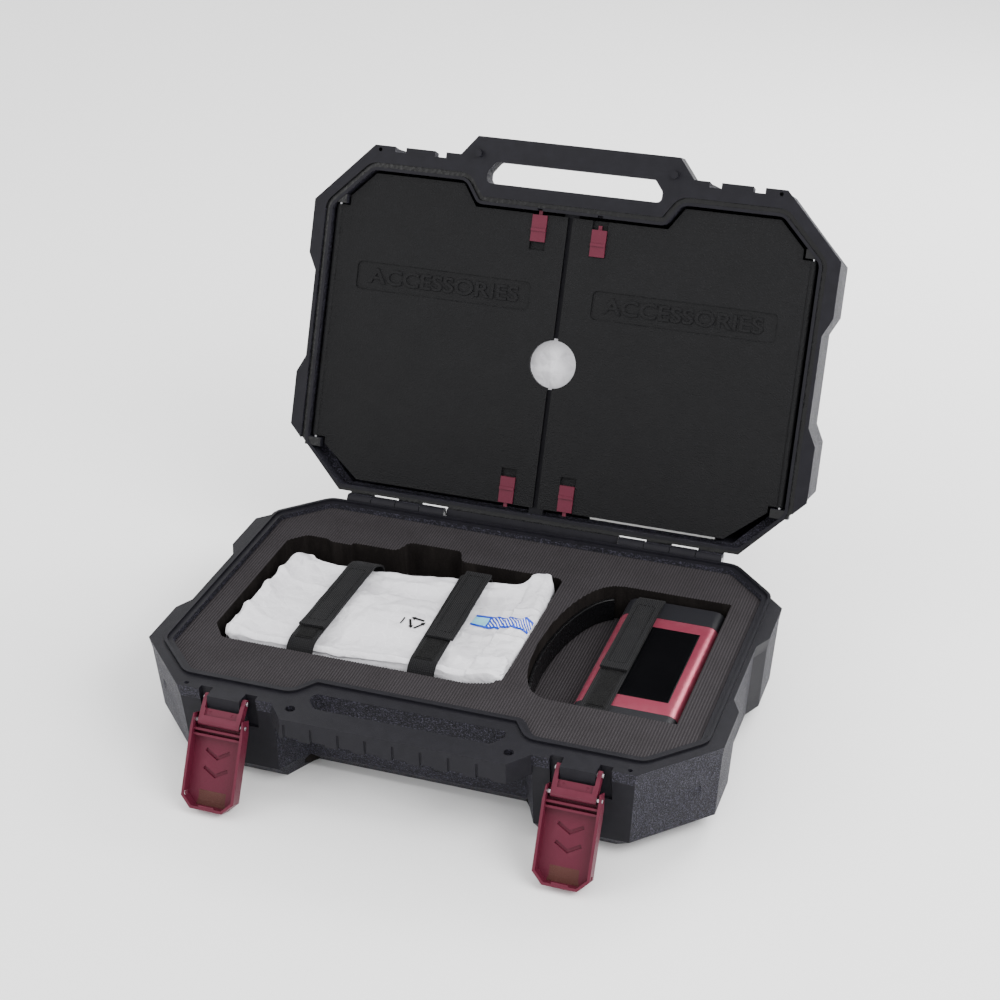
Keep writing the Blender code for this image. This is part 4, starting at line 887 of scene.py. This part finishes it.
STRAPS = {
    "outer": {"back": (-0.1081, 0.0735), "front": (-0.1100, -0.0690), "flap": (0.0470, -0.0450),
              "lean": (0.0020, 0.0008), "patch": (-0.0585, -0.030), "top": 0.0750},
    "inner": {"back": (-0.0190, 0.0815), "front": (-0.0135, -0.0690), "flap": (0.0660, -0.0305),
              "lean": (0.0035, 0.0030), "patch": (-0.0575, -0.018), "top": 0.0750},
    "analyzer": {"back": (0.1200, 0.0900), "front": (0.1185, -0.0712), "flap": (0.0775, -0.0185),
                 "lean": (0.0, 0.0), "patch": (-0.0660, -0.014), "top": 0.0680},
}


def strap_x(strap, y):
    """Where the middle of a strap runs, since each lies a little askew."""
    (back_x, back_y), (front_x, front_y) = strap["back"], strap["front"]
    return front_x + (back_x - front_x) * (y - front_y) / (back_y - front_y)


def film_ceiling(x, y):
    """How high the film may stand: pressed down under the two straps."""
    gap = min(abs(x - strap_x(STRAPS[name], y)) for name in ("outer", "inner"))
    return 0.0742 + 0.0045 * ease((gap - 0.0105) / 0.014)


def make_film_bag():
    bag = pillow((-0.1725, 0.0462), (-0.0660, 0.0830), (0.0430, 0.0745), 0.007, 0.0030, 0.020)
    slack_film(bag, 0.0055, 0.06, 0.8)
    changed(bag, "SUBSURF", levels=1, render_levels=1)
    for vertex in bag.data.vertices:
        co = vertex.co
        upper = ease((co.z - 0.060) / 0.010)
        near_end = ease((abs(co.x + 0.068) - 0.075) / 0.04)
        long_folds = ridge(co, 26.0, 3.1, (0.35, 1.5, 1.0)) ** 3
        cross_folds = ridge(co, 30.0, 9.4, (1.3, 0.5, 1.0)) ** 4
        crumple = ridge(co, 75.0, 5.2) ** 2
        ends = 0.35 + 0.65 * near_end
        lift = 0.0034 * long_folds * ends + 0.0026 * cross_folds * ends + 0.0009 * crumple * ends
        fold = 0.021 + 0.004 * (co.y / 0.08) + 0.0012 * noise.noise(Vector((0, co.y * 60, 2)))
        over = ease((co.x - fold) / 0.0010) * 0.0022
        tuck = ease((-0.154 - co.x - 0.25 * (0.055 - co.y)) / 0.0010) * 0.0020
        facets = noise.voronoi(co * 62.0)[0]
        lift += (0.0070 * facets[0] + 0.0030 * (facets[1] - facets[0])) * (0.22 + 0.78 * near_end)
        sag = 0.0022 * noise.noise(Vector((co.x * 18, co.y * 14, 6)))
        co.z += upper * (lift + over + tuck + sag - 0.0034)
        edge_back = 0.084 - 0.021 * (0.044 - co.x) / 0.224
        fall = ease((co.y - edge_back + 0.016) / 0.018)
        co.z -= upper * 0.0075 * fall * ease((0.030 - co.x) / 0.02)
        co.z = min(co.z, film_ceiling(co.x, co.y))
        co.x = min(max(co.x, -0.1822), 0.0466)
        co.y = max(co.y, -0.0703)
        co.z = max(co.z, 0.0425)
    dress(smooth(bag, 28), FINISH["film"])
    fit(bag, "packing_film_bag", "film_bag")
    return bag


def drape(piece, bag, rise):
    """Lays a thin flat piece on the bag from above."""
    for vertex in piece.data.vertices:
        hit, place = bag.ray_cast(Vector((vertex.co.x, vertex.co.y, 0.12)), Vector((0, 0, -1)))[:2]
        if hit:
            vertex.co.z = place.z + rise
    return piece


def make_tape(bag):
    """The printed tape that closes the bag, running off its right edge."""
    middle, length = 0.0212, 0.0470
    tape = sheet((length, 0.0165), (60, 18), (middle, 0.0172, 0.08))
    for vertex in tape.data.vertices:
        across = (vertex.co.x - middle) / (length / 2)
        vertex.co.y -= 0.0018 * across * across + 0.0016 * across
    drape(tape, bag, 0.00050)
    dress(smooth(tape, 60), FINISH["tape"])
    fit(tape, "striped_closing_tape", "film_bag", stands_for=False)


def make_mark(bag):
    """A plain printed triangle of three arrows, with a short bar beside it."""
    bars = []
    centre = Vector((-0.0385, -0.0102))
    for i in range(3):
        angle = math.radians(90 + 120 * i - 8)
        point = centre + Vector((math.cos(angle + 0.75), math.sin(angle + 0.75))) * 0.0056
        bpy.ops.mesh.primitive_circle_add(vertices=3, radius=0.0023, fill_type="NGON",
                                          location=(point.x, point.y, 0.08), rotation=(0, 0, angle))
        bars.append(settle(bpy.context.object))
        at = centre + Vector((math.cos(angle), math.sin(angle))) * 0.0043
        bars.append(sheet((0.0096, 0.0017), (16, 3), (at.x, at.y, 0.08), angle + math.pi / 2))
    bars.append(sheet((0.0012, 0.0072), (3, 12), (-0.0492, -0.0108, 0.08), math.radians(-8)))
    mark = drape(joined(*bars), bag, 0.0006)
    dress(mark, FINISH["ink"])
    fit(mark, "printed_triangle_mark", "film_bag", stands_for=False)


def make_pouch():
    """The soft pouch of leads and adapters behind the doors."""
    pouch = pillow((-0.097, 0.097), (-0.162, -0.027), (0.0185, 0.0555), 0.010, 0.0042)
    slack_film(pouch, 0.005, 0.06, 0.8)
    for vertex in pouch.data.vertices:
        co = vertex.co
        lift = 0.0022 * ridge(co, 24.0, 7.7, (0.6, 1.2, 1.0)) ** 3 + 0.0060 * noise.voronoi(co * 70.0)[0][0]
        co.z -= lift * ease((0.036 - co.z) / 0.01)
        co.z = min(max(co.z, 0.0142), 0.0600)
    settle(pouch, LID_FRAME)
    dress(smooth(pouch, 60), FINISH["film"])
    fit(pouch, "accessory_film_pouch", "accessory_pouch")


# ---- straps ------------------------------------------------------------------------------------------
def along(profile, share):
    """The place, and the run's direction, at a share of the way along a profile of (y, z) points."""
    lengths = [math.dist(a, b) for a, b in zip(profile, profile[1:])]
    left = share * sum(lengths)
    for (a, b), length in zip(zip(profile, profile[1:]), lengths):
        if left <= length or b == profile[-1]:
            part = min(1.0, left / length)
            run = ((b[0] - a[0]) / length, (b[1] - a[1]) / length)
            return a[0] + (b[0] - a[0]) * part, a[1] + (b[1] - a[1]) * part, run
        left -= length


def rounded_profile(points, radius, steps=5):
    """The same profile with short curves in place of its corners."""
    out = [points[0]]
    for a, b, c in zip(points, points[1:], points[2:]):
        before = Vector(a) - Vector(b)
        after = Vector(c) - Vector(b)
        reach = min(radius, before.length / 2, after.length / 2)
        start, end = Vector(b) + before.normalized() * reach, Vector(b) + after.normalized() * reach
        for k in range(steps + 1):
            t = k / steps
            spot = start * (1 - t) ** 2 + Vector(b) * 2 * t * (1 - t) + end * t * t
            out.append(tuple(spot))
    out.append(points[-1])
    return out


def ribbed_band(profile, width, centre_x, rows, thickness, wander=0.0, seed=0.0):
    """A woven band bent along a profile, from back to front, with real lengthwise ribs."""
    bpy.ops.mesh.primitive_grid_add(x_subdivisions=56, y_subdivisions=rows, size=2, location=(0, 0, 0))
    band = bpy.context.object
    for vertex in band.data.vertices:
        u, share = vertex.co.x, (1 - vertex.co.y) / 2
        y, z, run = along(profile, share)
        rib = 0.00013 * math.cos(u * width / 2 / WEB_PITCH * 2 * math.pi)
        edge = -0.0003 * ease((abs(u) - 0.93) / 0.07)
        rise = rib + edge + wander * noise.noise(Vector((u * 0.8, share * 7 + seed, seed)))
        x = centre_x(y) + u * width / 2 + wander * 0.7 * noise.noise(Vector((seed, share * 9, 4)))
        outward = -run[1] if run[0] > 0 else run[1]
        vertex.co = Vector((x, y + rise * outward, z + rise * abs(run[0])))
    changed(band, "SOLIDIFY", thickness=thickness, offset=-1)
    edit_all(band, bpy.ops.mesh.normals_make_consistent, inside=False)
    return smooth(band, 50)


def stitches(corners, level, spacing=0.0030):
    """A run of thread stitches along a closed path of (x, y) corners."""
    made = []
    for a, b in zip(corners, corners[1:] + corners[:1]):
        length = math.dist(a, b)
        count = max(2, int(length / spacing))
        for k in range(count):
            t = (k + 0.5) / count
            at = (a[0] + (b[0] - a[0]) * t, a[1] + (b[1] - a[1]) * t, level)
            turn = math.atan2(b[1] - a[1], b[0] - a[0])
            bpy.ops.mesh.primitive_uv_sphere_add(segments=6, ring_count=4, radius=1, location=at,
                                                 rotation=(0, 0, turn))
            bpy.context.object.scale = (0.0011, 0.00028, 0.00024)
            made.append(bpy.context.object)
    thread = joined(*made)
    return smooth(settle(thread), 60)


def make_hooks(name, strap, level):
    """The hook patch: a rough pile inside a flat sewn border."""
    low, high = strap["patch"]
    middle = (low + high) / 2
    middle_x = strap_x(strap, middle)
    pile = sheet((HOOK_WIDTH, high - low), (70, int((high - low) * 5200)), (middle_x, middle, level))
    for vertex in pile.data.vertices:
        inset = min(HOOK_WIDTH / 2 - abs(vertex.co.x - middle_x), vertex.co.y - low, high - vertex.co.y)
        rough = noise.noise(vertex.co * 2300) * 0.5 + 0.5
        vertex.co.z += ease((inset - 0.0008) / 0.0008) * (0.0003 + 0.0006 * rough)
    changed(pile, "SOLIDIFY", thickness=0.0004, offset=-1)
    dress(smooth(pile, 30), FINISH["hooks"])
    fit(pile, f"strap_{name}_hook_pile", f"strap_{name}_hook_patch")


def make_strap(name):
    strap = STRAPS[name]
    top = strap["top"] + 0.0010
    back_y, front_y = strap["back"][1], strap["front"][1]
    drop = 0.0090 if name != "analyzer" else 0.0010
    dip = 0.018 if name != "analyzer" else 0.004
    foot = 0.046
    profile = rounded_profile([
        (back_y + 0.0005, foot), (back_y - 0.0010, top - drop), (back_y - dip, top),
        (front_y + dip * 0.5, top), (front_y + 0.0012, top - drop * 0.6), (front_y, foot),
    ], 0.006)
    web = ribbed_band(profile, BAND_WIDTH, lambda y: strap_x(strap, y), 90, 0.0013, 0.0002, 1.7)
    dress(web, FINISH["webbing"])
    fit(web, f"strap_{name}_band", f"strap_{name}_webbing")
    make_hooks(name, strap, top + 0.0003)

    start, end = strap["flap"]
    level = top + 0.0028
    lift = [(start + 0.0010, level - 0.0004), (start - 0.010, level), (0.5 * (start + end), level + 0.0002),
            (end + 0.020, level), (end + 0.006, level + 0.0002), (end, level + 0.0006)]
    lean_back, lean_front = strap["lean"]

    def flap_x(y):
        share = (start - y) / (start - end)
        return strap_x(strap, y) + lean_back + (lean_front - lean_back) * share

    flap = ribbed_band(rounded_profile(lift, 0.004), FLAP_WIDTH, flap_x, 70, 0.0016, 0.0004,
                       4.4 + start * 90)
    dress(flap, FINISH["webbing"])
    box_ends = (start - 0.006, end + 0.0085)
    half = 0.0066
    path = [(flap_x(box_ends[0]) - half, box_ends[0]), (flap_x(box_ends[0]) + half, box_ends[0]),
            (flap_x(box_ends[1]) + half, box_ends[1]), (flap_x(box_ends[1]) - half, box_ends[1])]
    thread = dress(stitches(path, level + 0.00035), FINISH["thread"])
    node = f"strap_{name}_flap"
    fit(flap, f"{node}_band", node)
    fit(thread, f"{node}_stitching", node, stands_for=False)


# ---- analyzer ------------------------------------------------------------------------------------------
def make_analyzer():
    plain_part("analyzer_sleeve", "rose_metal_sleeve", "sleeve", 0.0005, 3, 30)
    for end in ("near", "far"):
        plain_part(f"end_cap_{end}", f"{end}_end_cap_moulding", "cap", 0.0008, 3, 40)
        for word in ("left", "right"):
            add_screw(end, word)
    plain_part("display_glass", "black_display_window", "glass", 0.0003)
    for word in ("left", "right"):
        port = copy_of(f"test_port_{word}")
        low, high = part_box(f"test_port_{word}")
        centre = ((low[0] + high[0]) / 2, high[1] - 0.0012, (low[2] + high[2]) / 2)
        ring = rod(centre, (0, 1, 0), 0.0036, 0.0006, 32)
        repeated(ring, (0, -0.0011, 0), 3)
        pin = rod((centre[0], high[1] - 0.0035, centre[2]), (0, 1, 0), 0.0006, 0.003, 16)
        hollow = rod((centre[0], high[1], centre[2]), (0, 1, 0), 0.0024, 0.009, 24)
        carve(ring, hollow)
        port = joined(soften(port, 0.0002), ring, pin)
        fit(dress(port, FINISH["brass"]), f"threaded_port_{word}", f"test_port_{word}")
    plain_part("usb_socket", "charging_socket", "steel", 0.0002)
    low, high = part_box("usb_socket")
    tongue = box((low[0] + 0.0018, high[0] - 0.0018), (low[1] + 0.0008, high[1] - 0.002),
                 ((low[2] + high[2]) / 2 - 0.0003, (low[2] + high[2]) / 2 + 0.0003))
    dress(soften(tongue, 0.0001), FINISH["unit"])
    fit(tongue, "charging_socket_tongue", "usb_socket", stands_for=False)
    plain_part("power_button", "power_push_button", "maroon", 0.0006, 3)


def add_screw(end, word):
    """A cap screw with a hexagon socket in its head."""
    node = f"cap_screw_{end}_{word}"
    low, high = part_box(node)
    x, z = (low[0] + high[0]) / 2, (low[2] + high[2]) / 2
    y = low[1] if end == "near" else high[1]
    screw = copy_of(node)
    carve(screw, rod((x, y, z), (0, 1, 0), 0.0010, 0.0016, 6))
    fit(dress(soften(screw, 0.0002), FINISH["steel"]), f"{node}_socket_head", node)


def finish_inner_parts():
    """What stays as in the frame: pins, and the parts sealed in the analyzer and the bag."""
    inner = {"hinge_pin_left": "steel", "hinge_pin_right": "steel", "display_module": "unit",
             "main_board": "board", "shield_can": "steel", "battery_cell": "cell", "wrapped_unit": "unit"}
    for word in ("left", "right"):
        for kind in ("base_pin", "link_pin"):
            inner[f"latch_{word}_{kind}"] = "steel"
        for end in ("top", "low"):
            inner[f"door_pin_{word}_{end}"] = "steel"
    for node, key in inner.items():
        plain_part(node, f"{node}_finished", key, 0.0003)


# ---- camera, light and floor -------------------------------------------------------------------
def add_camera():
    bpy.ops.object.camera_add(
        location=(0.4456, -1.2100, 0.9012),
        rotation=(math.radians(60.832), math.radians(0.325), math.radians(18.955)),
    )
    camera = bpy.context.object
    camera.data.lens = 72.9
    camera.data.clip_start = 0.01
    bpy.context.scene.camera = camera


def add_light(name, location, target, size, power):
    bpy.ops.object.light_add(type="AREA", location=location)
    lamp = bpy.context.object
    lamp.name = name
    set_all(lamp.data, shape="RECTANGLE", size=size, size_y=size * 0.7, energy=power)
    aim = Vector(target) - Vector(location)
    lamp.rotation_euler = aim.to_track_quat("-Z", "Y").to_euler()


def add_stage():
    bpy.ops.mesh.primitive_plane_add(size=8, location=(0, 0, 0))
    floor = bpy.context.object
    floor.name = "studio_floor"
    paper = bpy.data.materials.new("studio_paper")
    paper.use_nodes = True
    shader = paper.node_tree.nodes["Principled BSDF"]
    shader.inputs["Base Color"].default_value = (0.97, 0.97, 0.97, 1)
    shader.inputs["Roughness"].default_value = 0.9
    floor.data.materials.append(paper)
    world = bpy.data.worlds.new("studio")
    world.use_nodes = True
    sky = world.node_tree.nodes["Background"].inputs
    sky["Color"].default_value = (1, 1, 1, 1)
    sky["Strength"].default_value = 1.65
    bpy.context.scene.world = world
    add_light("key", (1.2, -0.5, 1.4), (0, 0, 0.1), 1.1, 27)
    add_light("fill", (-1.3, -0.9, 1.0), (0, 0, 0.1), 1.2, 10)
    add_light("rim", (0.6, 1.5, 1.2), (0, 0.1, 0.2), 1.0, 26)


def main():
    make_base_shell()
    make_lid_shell()
    for word, side in (("left", -1), ("right", 1)):
        make_door(word, side)
        make_lever(word, side)
        make_link(word, side)
        for end in ("top", "low"):
            make_slider(word, end)
    make_quick_guide()
    make_pouch()
    make_foam()
    bag = make_film_bag()
    make_tape(bag)
    make_mark(bag)
    for name in STRAPS:
        make_strap(name)
    make_analyzer()
    finish_inner_parts()
    add_camera()
    add_stage()


main()
